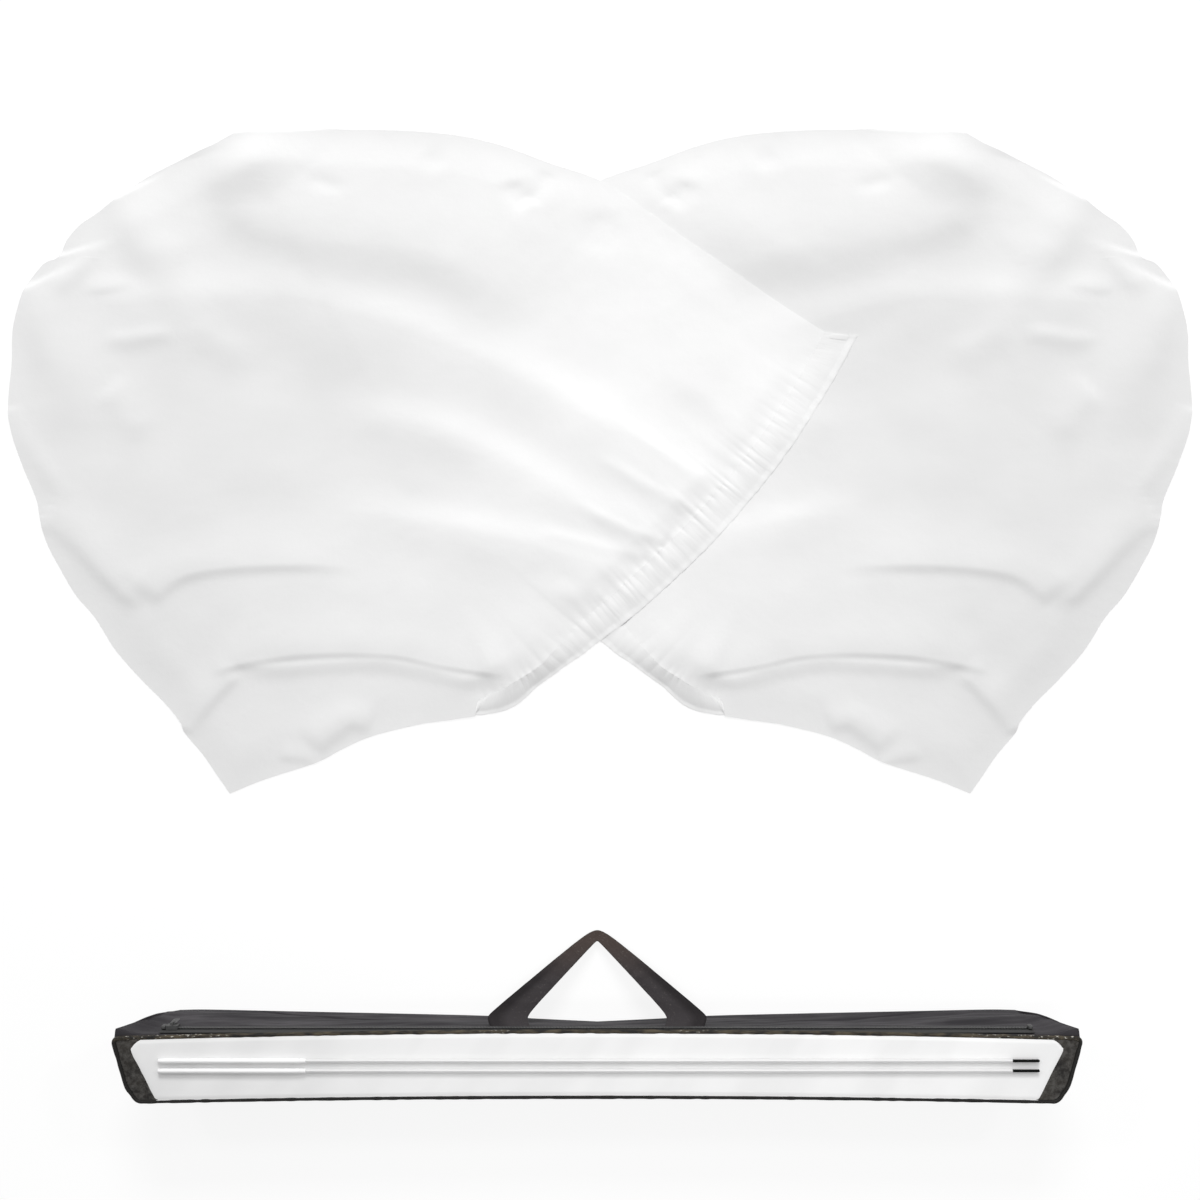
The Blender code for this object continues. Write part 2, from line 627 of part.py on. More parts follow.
def make_bag_front(carrier):
    """The front, which turns back as a lid: pale cloth, dark end borders, piping and a stiffening board."""
    south, north = RIM_SOUTH + FRONT_EDGE, RIM_NORTH - FRONT_EDGE
    under = BAG_HEIGHT - BAG_WALL
    cloth_inset = FRONT_EDGE + END_BORDER + SEAM_GAP
    front = block(across_bag(south, north, under, cloth_inset),
                  across_bag(south, north, BAG_HEIGHT, cloth_inset))
    dress(front, "bag_front_panel", "front_cloth", carrier)
    for sign, word in ((-1, "left"), (1, "right")):
        border = block(at_bag_end(sign, south, north, under, FRONT_EDGE, END_BORDER),
                       at_bag_end(sign, south, north, BAG_HEIGHT, FRONT_EDGE, END_BORDER))
        dress(border, f"bag_front_{word}_border", "bag_cloth", carrier)
    dress(rim_piping(), "bag_front_piping", "piping", carrier)

    board_top = under - SEAM_GAP
    inset = FRONT_EDGE + BOARD_INSET
    board = block(across_bag(south + BOARD_INSET, north - BOARD_INSET, board_top - BOARD_THICKNESS, inset),
                  across_bag(south + BOARD_INSET, north - BOARD_INSET, board_top, inset))
    dress(board, "bag_front_board", "stiffener", carrier)


# Zip


def make_zip_track(carrier):
    left, right = BAG_MIDDLE_X - ZIP_HALF_LENGTH, BAG_MIDDLE_X + ZIP_HALF_LENGTH
    half_tape, half_chain = ZIP_TAPE_WIDTH / 2, ZIP_CHAIN_WIDTH / 2
    tape = box(left, right, TAPE_BACK, TAPE_BACK + ZIP_TAPE_THICKNESS,
               ZIP_HEIGHT - half_tape, ZIP_HEIGHT + half_tape)
    dress(tape, "zip_tape", "zip_tape", carrier)
    inner_left, inner_right = left + ZIP_STOP_LENGTH + SEAM_GAP, right - ZIP_STOP_LENGTH - SEAM_GAP
    chain = box(inner_left, inner_right, CHAIN_BACK, CHAIN_FRONT,
                ZIP_HEIGHT - half_chain, ZIP_HEIGHT + half_chain)
    dress(chain, "zip_chain", "zip_metal", carrier)
    half_stop = SLIDER_WIDTH / 2
    for start, word in ((left, "left"), (right - ZIP_STOP_LENGTH, "right")):
        stop = box(start, start + ZIP_STOP_LENGTH, CHAIN_BACK, SLIDER_FRONT,
                   ZIP_HEIGHT - half_stop, ZIP_HEIGHT + half_stop)
        dress(stop, f"zip_{word}_stop", "zip_metal", carrier)


def make_zip_slider(carrier):
    """A channel that straddles the chain, with a wire bail on its face."""
    half_length, half_width = SLIDER_LENGTH / 2, SLIDER_WIDTH / 2
    slider = box(SLIDER_X - half_length, SLIDER_X + half_length, CHAIN_BACK, SLIDER_FRONT,
                 ZIP_HEIGHT - half_width, ZIP_HEIGHT + half_width)
    half_slot = ZIP_CHAIN_WIDTH / 2 + SEAM_GAP
    slot = box(SLIDER_X - SLIDER_LENGTH, SLIDER_X + SLIDER_LENGTH,
               CHAIN_BACK - SLIDER_CAP, CHAIN_FRONT + SEAM_GAP,
               ZIP_HEIGHT - half_slot, ZIP_HEIGHT + half_slot)
    boolean(slider, as_cutter(slot, "zip_slot_cutter"), "DIFFERENCE")

    reach, half_spread = BAIL_REACH - BAIL_WIRE, BAIL_SPREAD / 2
    arch = [(SLIDER_X, SLIDER_FRONT - BAIL_ROOT, ZIP_HEIGHT + half_spread)]
    for step in range(BAIL_STEPS + 1):
        turn = math.pi * step / BAIL_STEPS
        y, z = SLIDER_FRONT + reach * math.sin(turn), ZIP_HEIGHT + half_spread * math.cos(turn)
        arch.append((SLIDER_X, y, z))
    arch.append((SLIDER_X, SLIDER_FRONT - BAIL_ROOT, ZIP_HEIGHT - half_spread))
    wire = poly_curve(arch)
    wire.data.bevel_depth = BAIL_WIRE
    wire.data.bevel_resolution = 1
    wire.data.use_fill_caps = True
    boolean(slider, as_cutter(mesh_of(wire), "zip_bail_wire"), "UNION")
    dress(slider, "zip_slider", "zip_metal", carrier)


def rounded_box_outline(x0, x1, y0, y1, radius, steps=4):
    """A rectangle with round corners, as points in order."""
    points = []
    corners = ((x1 - radius, y1 - radius, 0), (x0 + radius, y1 - radius, 1),
               (x0 + radius, y0 + radius, 2), (x1 - radius, y0 + radius, 3))
    for x, y, quarter in corners:
        for step in range(steps + 1):
            turn = math.pi / 2 * (quarter + step / steps)
            points.append((x + radius * math.cos(turn), y + radius * math.sin(turn)))
    return points


def make_zip_pull(carrier):
    """A flat pull that hangs from the bail by the bar above its slot."""
    half_bar, half_width, half_slot = PULL_BAR / 2, PULL_WIDTH / 2, PULL_SLOT_WIDTH / 2
    outline = rounded_box_outline(-half_width, half_width, half_bar - PULL_LENGTH, half_bar, half_bar)
    slot = rounded_box_outline(-half_slot, half_slot, -half_bar - PULL_SLOT_LENGTH, -half_bar, half_bar)
    pull = plate([outline, slot], PULL_THICKNESS)
    pull.location = (SLIDER_X, PULL_AXIS_Y, ZIP_HEIGHT)
    pull.rotation_euler[0] = math.pi / 2
    dress(pull, "zip_pull", "zip_metal", carrier)


# Handle


def handle_outline():
    """The strap seen flat: two straight legs that meet in a round top, and the triangle they leave open."""
    half_span = HANDLE_SPAN / 2
    centre = Vector((0.0, HANDLE_REACH - HANDLE_TOP_RADIUS))
    foot = Vector((half_span, -HANDLE_TAIL))
    to_centre = centre - foot
    lean = math.atan2(to_centre.y, to_centre.x) - math.asin(HANDLE_TOP_RADIUS / to_centre.length)
    first = lean - math.pi / 2
    outline = [tuple(foot)]
    for step in range(HANDLE_TOP_STEPS + 1):
        turn = first + (math.pi - 2 * first) * step / HANDLE_TOP_STEPS
        spoke = Vector((math.cos(turn), math.sin(turn)))
        outline.append(tuple(centre + HANDLE_TOP_RADIUS * spoke))
    inner_foot = half_span - HANDLE_STRAP_WIDTH
    inner_top = HANDLE_REACH - HANDLE_TOP_WIDTH
    outline += [(-half_span, -HANDLE_TAIL), (-inner_foot, -HANDLE_TAIL)]
    outline += [(0.0, inner_top), (inner_foot, -HANDLE_TAIL)]
    return outline


def make_handle(carrier):
    strap = plate([handle_outline()], HANDLE_THICKNESS)
    strap.location = (BAG_MIDDLE_X, HANDLE_AXIS_Y, HANDLE_AXIS_HEIGHT)
    strap.rotation_euler[0] = -HANDLE_TILT
    dress(strap, "handle_strap", "strap", carrier)


def make_handle_anchors(carrier):
    """The strap's two ends, sewn to the upper gusset."""
    outer = HANDLE_SPAN / 2
    inner = outer - HANDLE_STRAP_WIDTH
    low = HANDLE_AXIS_HEIGHT - ANCHOR_BELOW_AXIS
    high = ZIP_HEIGHT - ZIP_TAPE_WIDTH / 2 - ANCHOR_UNDER_ZIP
    for x0, x1, word in ((-outer, -inner, "left"), (inner, outer, "right")):
        anchor = box(BAG_MIDDLE_X + x0, BAG_MIDDLE_X + x1, RIM_NORTH + SEAM_GAP, ANCHOR_FRONT, low, high)
        dress(anchor, f"handle_{word}_anchor", "strap", carrier)


# Poles


def pole_place(number):
    """Where a pole's left end lies: the second pole lies below the first, seen from above."""
    return POLE_LEFT, RIM_NORTH - POLE_FROM_RIM - POLE_SPACING * (number - 1), POLE_HEIGHT


def make_pole(number, grip_carrier, rod_carrier):
    """A thin tube grip with a rod that slides in it. Profiles run along the pole, from its left end at 0."""

    def lay(obj, word, finish_name, carrier):
        obj.location = pole_place(number)
        obj.rotation_euler[1] = math.pi / 2
        dress(obj, f"pole_{number}_{word}", finish_name, carrier)

    in_bore = POLE_BORE_RADIUS - POLE_CLEARANCE
    nose_bore = POLE_ROD_RADIUS + POLE_CLEARANCE
    grip_start = POLE_PLUG_HEAD + SEAM_GAP
    grip_end = POLE_GRIP_LENGTH - POLE_NOSE_LENGTH - SEAM_GAP
    nose_start = grip_end + SEAM_GAP
    shank_start = nose_start - POLE_SHANK_LENGTH
    stop_end = shank_start - SEAM_GAP
    rod_start = stop_end + SEAM_GAP
    rod_end = POLE_LENGTH - POLE_TIP_LENGTH - SEAM_GAP

    lay(turned([(POLE_GRIP_RADIUS, grip_end), (POLE_GRIP_RADIUS, grip_start),
                (POLE_BORE_RADIUS, grip_start), (POLE_BORE_RADIUS, grip_end)], closed=True),
        "grip", "pole_white", grip_carrier)
    plug_end = grip_start + POLE_SHANK_LENGTH
    lay(turned([(0, plug_end), (in_bore, plug_end), (in_bore, POLE_PLUG_HEAD),
                (POLE_GRIP_RADIUS, POLE_PLUG_HEAD), (POLE_GRIP_RADIUS, POLE_TIP_ROUNDING),
                (POLE_GRIP_RADIUS - POLE_TIP_ROUNDING, 0), (0, 0)]),
        "end_plug", "pole_white", grip_carrier)
    lay(turned([(POLE_NOSE_MOUTH, POLE_GRIP_LENGTH), (POLE_GRIP_RADIUS, nose_start),
                (in_bore, nose_start), (in_bore, shank_start), (nose_bore, shank_start),
                (nose_bore, POLE_GRIP_LENGTH)], closed=True),
        "nose", "pole_white", grip_carrier)
    lay(turned([(POLE_ROD_RADIUS, rod_end), (POLE_ROD_RADIUS, rod_start),
                (POLE_ROD_BORE, rod_start), (POLE_ROD_BORE, rod_end)], closed=True),
        "rod", "pole_white", rod_carrier)
    lay(turned([(0, rod_start + POLE_PEG_LENGTH), (POLE_PEG_RADIUS, rod_start + POLE_PEG_LENGTH),
                (POLE_PEG_RADIUS, stop_end), (in_bore, stop_end), (in_bore, stop_end - POLE_STOP_LENGTH),
                (0, stop_end - POLE_STOP_LENGTH)]),
        "rod_stop", "pole_white", rod_carrier)
    tip_start = rod_end + SEAM_GAP
    lay(turned([(0, POLE_LENGTH), (POLE_TIP_RADIUS - POLE_TIP_ROUNDING, POLE_LENGTH),
                (POLE_TIP_RADIUS, POLE_LENGTH - POLE_TIP_ROUNDING), (POLE_TIP_RADIUS, tip_start),
                (POLE_PEG_RADIUS, tip_start), (POLE_PEG_RADIUS, tip_start - POLE_PEG_LENGTH),
                (0, tip_start - POLE_PEG_LENGTH)]),
        "tip", "pole_black", rod_carrier)


# The whole set

clear_scene()
SET = make_collection("collapsible_backdrop_panel")
CUTTERS = make_collection("cutters")

bag = body("bag_body")
front = body("bag_front_body", (BAG_MIDDLE_X, RIM_SOUTH, WALL_TOP))
make_bag_body(bag)
make_bag_front(front)
make_zip_track(bag)
make_handle_anchors(bag)
make_handle(body("handle_body", (BAG_MIDDLE_X, HANDLE_AXIS_Y, HANDLE_AXIS_HEIGHT)))
make_zip_slider(body("zip_slider_body", (SLIDER_X, CHAIN_BACK, ZIP_HEIGHT)))
make_zip_pull(body("zip_pull_body", (SLIDER_X, PULL_AXIS_Y, ZIP_HEIGHT)))
for pole_number in (1, 2):
    grip_body = body(f"pole_{pole_number}_body", pole_place(pole_number))
    rod_body = body(f"pole_{pole_number}_rod_body", pole_place(pole_number))
    make_pole(pole_number, grip_body, rod_body)
make_panel("right", body("right_panel_body"))
make_panel("left", body("left_panel_body"))
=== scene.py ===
import math

import bpy
import numpy as np
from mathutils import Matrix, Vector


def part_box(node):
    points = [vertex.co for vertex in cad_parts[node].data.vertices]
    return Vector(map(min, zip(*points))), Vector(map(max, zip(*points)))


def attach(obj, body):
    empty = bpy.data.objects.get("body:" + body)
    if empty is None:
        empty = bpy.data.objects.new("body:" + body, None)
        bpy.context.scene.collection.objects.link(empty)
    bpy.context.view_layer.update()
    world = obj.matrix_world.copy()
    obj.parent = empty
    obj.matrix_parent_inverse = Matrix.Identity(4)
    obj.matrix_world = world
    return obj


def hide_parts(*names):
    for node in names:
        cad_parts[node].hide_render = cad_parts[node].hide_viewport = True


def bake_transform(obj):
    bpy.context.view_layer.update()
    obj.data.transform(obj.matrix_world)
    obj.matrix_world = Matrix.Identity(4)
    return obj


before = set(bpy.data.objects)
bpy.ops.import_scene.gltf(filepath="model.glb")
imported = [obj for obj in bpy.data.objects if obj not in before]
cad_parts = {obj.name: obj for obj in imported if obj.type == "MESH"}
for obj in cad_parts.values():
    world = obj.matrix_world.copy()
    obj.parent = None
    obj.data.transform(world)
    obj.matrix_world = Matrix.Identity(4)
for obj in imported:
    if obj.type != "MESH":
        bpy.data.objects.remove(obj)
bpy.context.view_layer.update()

# Looks of a laid-out backdrop set: two gathered satin panels, a carry bag with a pale front, and two
# poles on it. Everything is in metres, in the frame's own axes. Lists marked in millimetres are places
# on the ground, and are turned into metres by MM.
MM = 0.001

# Camera, straight above the set
CAMERA_HEIGHT = 1.70
VIEW_WIDTH = 1.32               # ground seen across the picture
SENSOR_WIDTH = 36.0             # millimetres, as Blender counts lenses

# Light
AMBIENT = 0.42
KEY_PLACE = (0.0, 5.0, 3.4)
KEY_AIM = (0.0, 0.0, 0.0)
KEY_SIZE = (2.6, 1.4)
KEY_POWER = 232.0
SIDE_PLACE = (1.90, 1.20, 2.00)  # the lamp for the left panel, with its mirror image for the right
SIDE_AIM = (-0.28, 0.20, 0.0)
SIDE_POWER = 56.0
SIDE_CONE = math.radians(64)
SIDE_SOFTNESS = 0.20
BAG_LIGHT_PLACE = (0.20, -0.62, 1.3)
BAG_LIGHT_AIM = (0.20, -0.50, 0.08)
BAG_LIGHT_SIZE = (1.0, 0.15)
BAG_LIGHT_POWER = 0.14
BAG_LIGHT_SPREAD = math.radians(28)
FLOOR_GLOW = 0.80               # share of the floor's look that is plain white to the camera
GLOW_STRENGTH = 1.06
FLOOR_HALF = 6.0

# Left panel's outline, in millimetres, each edge from the hem or the top corner on
TOP_EDGE = [(246, 294), (200, 324), (154, 355), (99, 393), (44, 433), (0, 461), (-55, 480), (-110, 500),
            (-160, 511), (-220, 516), (-280, 517), (-328, 519), (-355, 521), (-377, 519), (-397, 513)]
OUTER_EDGE = [(-397, 513), (-420, 501), (-443, 492), (-476, 476), (-502, 462), (-528, 444), (-547, 429),
              (-571, 413), (-586, 396), (-592, 382), (-597, 375), (-611, 370), (-624, 355), (-631, 345),
              (-640, 320), (-646, 294), (-647, 260), (-651, 215), (-647, 183), (-634, 145), (-620, 111),
              (-616, 89), (-609, 64), (-598, 42), (-577, 6), (-555, -20), (-533, -55), (-504, -88),
              (-479, -113), (-461, -135), (-457, -146), (-436, -171), (-421, -193), (-407, -213)]
BOTTOM_EDGE = [(-137, -128), (-152, -130), (-164, -132), (-187, -135), (-208, -139), (-251, -150),
               (-283, -164), (-312, -179), (-370, -198), (-407, -213)]
HEM_EDGE = [(246, 294), (230, 264), (209, 229), (176, 179), (137, 130), (99, 87), (55, 44), (5, -2),
            (-24, -27), (-50, -55), (-66, -72), (-84, -84), (-105, -97), (-120, -104), (-133, -110),
            (-136, -119), (-137, -128)]
STITCH_SHARE = 0.9665           # share of that edge along which the casing is sewn on

# Folds of the left panel: the crest's line in millimetres, the crest's height, the spread of the cloth to
# the left and to the right of that line, and the runs in which the fold rises at its start and dies at its
# end
FOLDS = [
    # dome behind the top edge, with the deep hollow round it
    ([(-397, 516), (-394, 473), (-384, 427), (-357, 408), (-319, 400), (-264, 394), (-209, 389), (-165, 378),
      (-110, 344), (-60, 300)], 10.0, 85, 48, 4, 130),
    ([(-446, 494), (-436, 458), (-424, 424), (-396, 394), (-345, 380), (-280, 374)], -2.0, 24, 24, 10, 90),
    ([(-396, 520), (-390, 430)], 6.0, 42, 34, 4, 55),
    # long ridge from the outer edge to the hem
    ([(-566, 324), (-495, 326), (-418, 330), (-341, 329), (-275, 314), (-220, 298), (-165, 276), (-110, 251),
      (-44, 216), (22, 176), (88, 130), (125, 103)], 4.8, 29, 52, 60, 10),
    # ridges that fan out from the hem
    ([(-310, 198), (-220, 195), (-165, 180), (-110, 156), (-44, 117), (22, 84), (75, 60)],
     3.4, 22, 28, 130, 10),
    ([(-310, 100), (-220, 87), (-165, 78), (-110, 68), (-55, 53), (0, 37), (48, 16)], 3.0, 20, 34, 110, 10),
    ([(0, 209), (66, 165), (132, 123)], 1.0, 7, 9, 60, 4),
    ([(-16, 165), (44, 130), (105, 97)], 1.0, 7, 9, 60, 4),
    ([(-44, 115), (22, 82), (72, 62)], 0.9, 6, 8, 50, 4),
    ([(-88, 82), (-22, 64), (50, 46)], 1.0, 8, 9, 60, 4),
    ([(-90, 17), (-44, 9), (5, -4)], 1.2, 14, 14, 50, 10),
    ([(60, 260), (110, 225), (165, 178)], 0.8, 12, 14, 60, 6),
    # facets along the upper part of the outer edge
    ([(-528, 446), (-513, 418), (-496, 387), (-473, 357), (-440, 338)], 7.5, 34, 26, 4, 75),
    ([(-631, 346), (-613, 309), (-596, 264), (-585, 215), (-580, 165)], 6.5, 40, 30, 5, 110),
    ([(-596, 380), (-588, 357), (-572, 341)], 4.0, 36, 16, 4, 20),
    ([(-566, 340), (-537, 343), (-515, 350)], 1.0, 12, 5, 14, 14),
    ([(-548, 288), (-522, 286), (-495, 290), (-462, 294)], 1.4, 9, 10, 20, 20),
    ([(-456, 306), (-423, 284), (-372, 255)], 1.8, 18, 25, 30, 40),
    ([(-545, 233), (-530, 220), (-511, 192), (-495, 172)], 2.2, 24, 16, 12, 30),
    ([(-651, 211), (-630, 173), (-610, 143), (-585, 104)], 2.2, 10, 15, 4, 40),
    # dents near the top edge
    ([(-97, 462), (-90, 446), (-76, 432)], -2.6, 13, 13, 12, 10),
    ([(-78, 434), (-67, 452), (-56, 472)], -1.5, 8, 8, 10, 8),
    ([(-4, 432), (2, 405), (7, 376)], -1.5, 20, 20, 24, 26),
    ([(-194, 494), (-182, 484), (-169, 475)], -1.2, 14, 14, 12, 12),
    ([(-326, 463), (-300, 456), (-274, 450)], -1.2, 9, 9, 20, 20),
    # creases in the lower part
    ([(-614, 89), (-592, 77), (-564, 52), (-530, 17), (-499, -10)], 3.0, 30, 11, 4, 30),
    ([(-497, -6), (-478, 15), (-451, 30), (-396, 38), (-319, 40), (-250, 36)], 2.4, 36, 8, 20, 100),
    ([(-434, -79), (-396, -69), (-363, -63), (-330, -59), (-275, -57), (-220, -60), (-176, -70), (-132, -77),
      (-96, -82)], 3.0, 32, 7, 40, 34),
    ([(-401, -76), (-352, -74), (-297, -70), (-242, -69), (-198, -76), (-154, -86), (-112, -92)],
     1.8, 6, 10, 40, 30),
    ([(-456, -146), (-444, -128), (-429, -110), (-411, -91), (-393, -75)], 2.4, 24, 8, 4, 20),
    ([(-357, -170), (-330, -173), (-306, -179)], 1.5, 12, 6, 14, 4),
    ([(-319, -167), (-291, -145), (-273, -134), (-247, -140)], 2.6, 18, 10, 18, 14),
]

# Pairs named for an easing hold its start and its run. Shares of the hem count from its top.

# Panel cloth
STEPS_OUT = 132                 # faces from the hem to the outer edge
STEPS_DOWN = 350                # faces from the top edge to the bottom edge
HEM_CROWDING = 1.25             # power that draws the faces towards the hem
SATIN_THICKNESS = 0.0003
SATIN_SPAN = (0.90, 0.75)       # what the finish counts from the hem out, and from the top edge down
BED = 0.0002                    # underside of the cloth over the ground
GROUND_SOFTNESS = 0.0003        # hollows ease on to the ground within about this height
FOLD_SAMPLES = 30               # points kept along each crest
FOLD_REACH = 2.7                # spreads from its crest past which a fold is left out
RIM_RUN = 0.045                 # folds sink towards the edge in this run
RIM_SHARE = 0.55                # and keep this share of their height at the edge
HEM_RUN = 0.030                 # folds sink towards the hem in this run
HEM_SHARE = 0.40                # and keep this share of their height at the stitch line
SLACK = ((0.095, 0.0012, 11), (0.034, 0.00028, 12))   # cloth's own waves: length, height, seed
HEM_LIGHT_FADE = (0.10, 0.42)       # painted light, which whitens the satin along the hem, fades from the hem out
HEM_LIGHT_LOSS = 0.55               # and loses this share
HEM_LIGHT_LOSS_FADE = (0.60, 0.25)  # in the panel's lower part, by share of its depth

# Gathers
GATHER_PITCH = 0.0112           # short pleats at the stitch line
GATHER_HEIGHT = 0.0016
GATHER_RUN = 0.0110
GATHER_RUN_CHANGE = 0.8         # their run changes by this share either way
GATHER_RUN_LENGTH = 0.013       # over this length of the hem
LONG_GATHER_PITCH = 0.026       # soft pleats that run on into the panel
LONG_GATHER_HEIGHT = 0.0008
LONG_GATHER_RUN = 0.045
LONG_GATHER_START = 0.012       # and are full this far from the stitch line
GATHER_LEAST = 0.30             # share of their height that both have at the hem's top
GATHER_GROWTH = (0.08, 0.40)    # shares of the hem in which they grow
GATHER_LOSS = 0.5               # share of their height that they lose again
GATHER_LOSS_FADE = (0.62, 0.12)     # in these shares of the hem

# The left panel lies over the right one
PRESS_START = 0.060             # the lower panel starts to flatten this far outside the upper one's edge
PRESS_RUN = 0.120               # and is pressed flat in this run
PRESS_SHARE = 0.92              # and loses this share of its height
CASING_PRESS = 0.70             # its casing loses this part of that
LAP_CLEARANCE = 0.0003
LAP_RUN = 0.040                 # the upper panel comes down to the ground in this run
LAP_EASE = 0.004                # what it clears of the lower cloth dies at that cloth's edges in this run
RIDGE_RISE = 0.0026             # the lower panel's casing lifts the upper panel this far
RIDGE_CREST = 0.55              # over this share of its width on either side of its middle
RIDGE_RUN = 0.080               # and in this run beyond
RIDGE_EDGE_RUN = 0.022          # or in this one at the upper panel's free edge
RIDGE_EDGE_REACH = 0.070        # which counts as near this far in
RIDGE_EDGE_SHARE = 0.30         # where it lifts it by this share only
RIDGE_EDGE_FALL = 0.60          # and by so much less again at its own free edge
RIDGE_FALL_EASE = (-0.004, 0.018)   # counted from the casing's middle
RIDGE_STEP = 0.0004             # its free edge shows as a faint step
STEP_RISE = (-0.0025, 0.005)    # which rises across that edge
STEP_FADE = (0.003, 0.040)      # and fades outside it
STEP_TOP_END = (0.08, 0.05)     # it shows at the hem's top, to these shares of the hem
STEP_START = (0.48, 0.12)       # and again below its middle, from these
STEP_END = (0.76, 0.08)         # to these
CORNER_SOFTNESS = 0.010         # the upper panel's corner is rounded by about this where it presses

# Hem casing
CASING_WIDTH = 0.034
CASING_CLOTH = 0.0002
CASING_FLARE = 0.40             # the upper end of the casing leans out by this share of its width
CASING_FLARE_END = 0.10         # to this share of the hem
CASING_LOWER_FLARE = 1.10       # and the lower end leans on by this share
CASING_LOWER_EASE = (0.88, 0.12)
# share of the hem, and the casing's width there from above: it narrows where it stands up
CASING_WIDTHS = [(0.0, 0.0340), (0.56, 0.0340), (0.72, 0.0305), (0.78, 0.0278), (0.82, 0.0227),
                 (0.86, 0.0178), (0.89, 0.0180), (0.93, 0.0227), (0.97, 0.0183), (1.0, 0.0130)]
CASING_STEPS = 560
CASING_ROUND = 26
CASING_CROWDING = 1.4           # power that draws the faces towards the free edge
CASING_TURN = (0.46, 0.08)      # where the lower layer turns into the upper one, by share of the way round
CHANNEL_MIDDLE = 0.0135         # from the stitch line
CHANNEL_RISE = 0.0010
CHANNEL_ROUNDNESS = 0.8         # power of the channel's sine
CASING_LAYERS = 0.00012         # gap between the casing's two layers at its free edge
LAYER_RUN = 0.002               # they part in this run from the stitch line
ROOT_RUN = 0.005                # and leave the panel's cloth in this one
LOWER_GATHERS = 0.3             # share of the gathers that the lower layer has
RUFFLE_PITCH = 0.0135
RUFFLE_HEIGHT = 0.0004
SCALLOP = 0.0006                # the free edge swings by this
SCALLOP_PITCH = 2.2 * RUFFLE_PITCH
HEM_OVERLAP = -0.0002           # the casing starts this far inside the stitch line
HEM_RISE = 0.0055               # the hem's lower end stands up this far and leans over
HEM_RISE_GROWTH = (0.73, 0.12)  # in these shares of the hem
HEM_RISE_LOSS = 0.85            # and loses this share of it again
HEM_RISE_FADE = (0.93, 0.07)    # at its very end
HEM_RISE_RUN = 0.055            # the panel rises to it in this run
LEAN_POWER = 1.6                # the casing comes down to its free edge by this power
ELASTIC_WIDTH = 0.016
ELASTIC_THICKNESS = 0.0006
ELASTIC_SPAN = (0.004, 0.996)   # shares of the hem
ELASTIC_POINTS = (260, 20)      # along it and round it
ELASTIC_SQUARE = (0.3, 0.5)     # powers that square its section, across and up
ELASTIC_ROOM = 0.35             # most of the gap between the layers that it takes up on either side
STITCH_PITCH = 0.0034
STITCH_LENGTH = 0.0024
STITCH_RADIUS = 0.00026
STITCH_POINTS = (5, 6)
TACK_HALF = (0.0028, 0.0095, 0.0002)
TACK_INSET = 0.0040             # from the casing's end
TACK_SQUARE = 0.45              # power that squares the tack's ends
TACK_SECTION = (0.6, 0.7)       # and its section, across and up
TACK_POINTS = (60, 28)
TACK_OPENING = 0.02             # turn at which its ends are closed
TACK_RIDGE = 0.10               # its threads stand out by this share
TACK_THREAD = 0.0011

# Smooth lines and random waves
SAMPLES = 240                   # points kept along each smooth line
FINENESS = 24                   # steps in each stretch of a smooth line
THINNED = 4                     # every so many points of a line are enough to measure from
DRAWN_ON = 0.20                 # the hem's lines are drawn on this far past their ends
LATTICE = 64                    # size of the random lattice behind the soft waves
# how much a wave's phase and height wander, and over how many pitches
WAVE_DRIFT, WAVE_SWELL = (0.55, 3.1), (0.30, 2.3)
PUCKER_DRIFT, PUCKER_SWELL = (0.8, 1.7), (0.45, 1.3)
PUCKER_ROUNDNESS = 0.8          # power of the puckers' sine
# seeds of the random waves, where a wave that wanders takes the next number too
SEED = {"gathers": 21, "gather_run": 25, "long_gathers": 31, "ruffle": 41, "scallop": 44,
        "zip_side": 61, "hinge_side": 63, "ends": 65, "front": 71, "border": 73, "piping": 75, "strap": 81}

# Meshes
SHARP_TURN = 40                 # degrees between faces past which an edge of a closed tube stays sharp
SHARP_SHEET = 50                # and of a sheet
BEAD_OPENING = 0.12             # turn at which a bead's ends are closed


# Lines and waves


def smooth_step(value):
    """Eases from 0 to 1: three times the square less twice the cube, held at 0 and 1 outside."""
    value = np.clip(value, 0.0, 1.0)
    return value * value * (3 - 2 * value)


def eased(value, start, run):
    """The smooth step that begins at the start and takes the run."""
    return smooth_step((value - start) / run)


def signed_power(value, power):
    """A power of the value's size with the value's own sign. Below one, it squares a sine or cosine."""
    return np.sign(value) * np.abs(value) ** power


def smooth_line(points, count=SAMPLES):
    """Points at even steps along a Catmull-Rom curve, the cubic whose slope at each given point is half the
    way between that point's neighbours."""
    given = np.asarray(points, float)
    run = np.vstack([2 * given[0] - given[1], given, 2 * given[-1] - given[-2]])
    a, b, c, d = (run[i:len(run) - 3 + i, None, :] for i in range(4))
    t = np.linspace(0, 1, FINENESS, endpoint=False)[None, :, None]
    bend = (2 * a - 5 * b + 4 * c - d) * t**2 + (3 * b - a - 3 * c + d) * t**3
    fine = ((2 * b + (c - a) * t + bend) / 2).reshape(-1, given.shape[1])
    return even_line(np.vstack([fine, given[-1:]]), count)


def even_line(line, count):
    """The same line with its points at even steps of its length."""
    length = line_length(line)
    even = np.linspace(0, length[-1], count)
    return np.stack([np.interp(even, length, column) for column in line.T], axis=1)


def line_length(line):
    """How far along a line each of its points lies: the running sum of its steps."""
    return np.concatenate([[0.0], np.cumsum(np.linalg.norm(np.diff(line, axis=0), axis=1))])


def along(line, share):
    """Places at shares of a line's points."""
    steps = np.linspace(0, 1, len(line))
    return np.stack([np.interp(share, steps, column) for column in line.T], axis=-1)


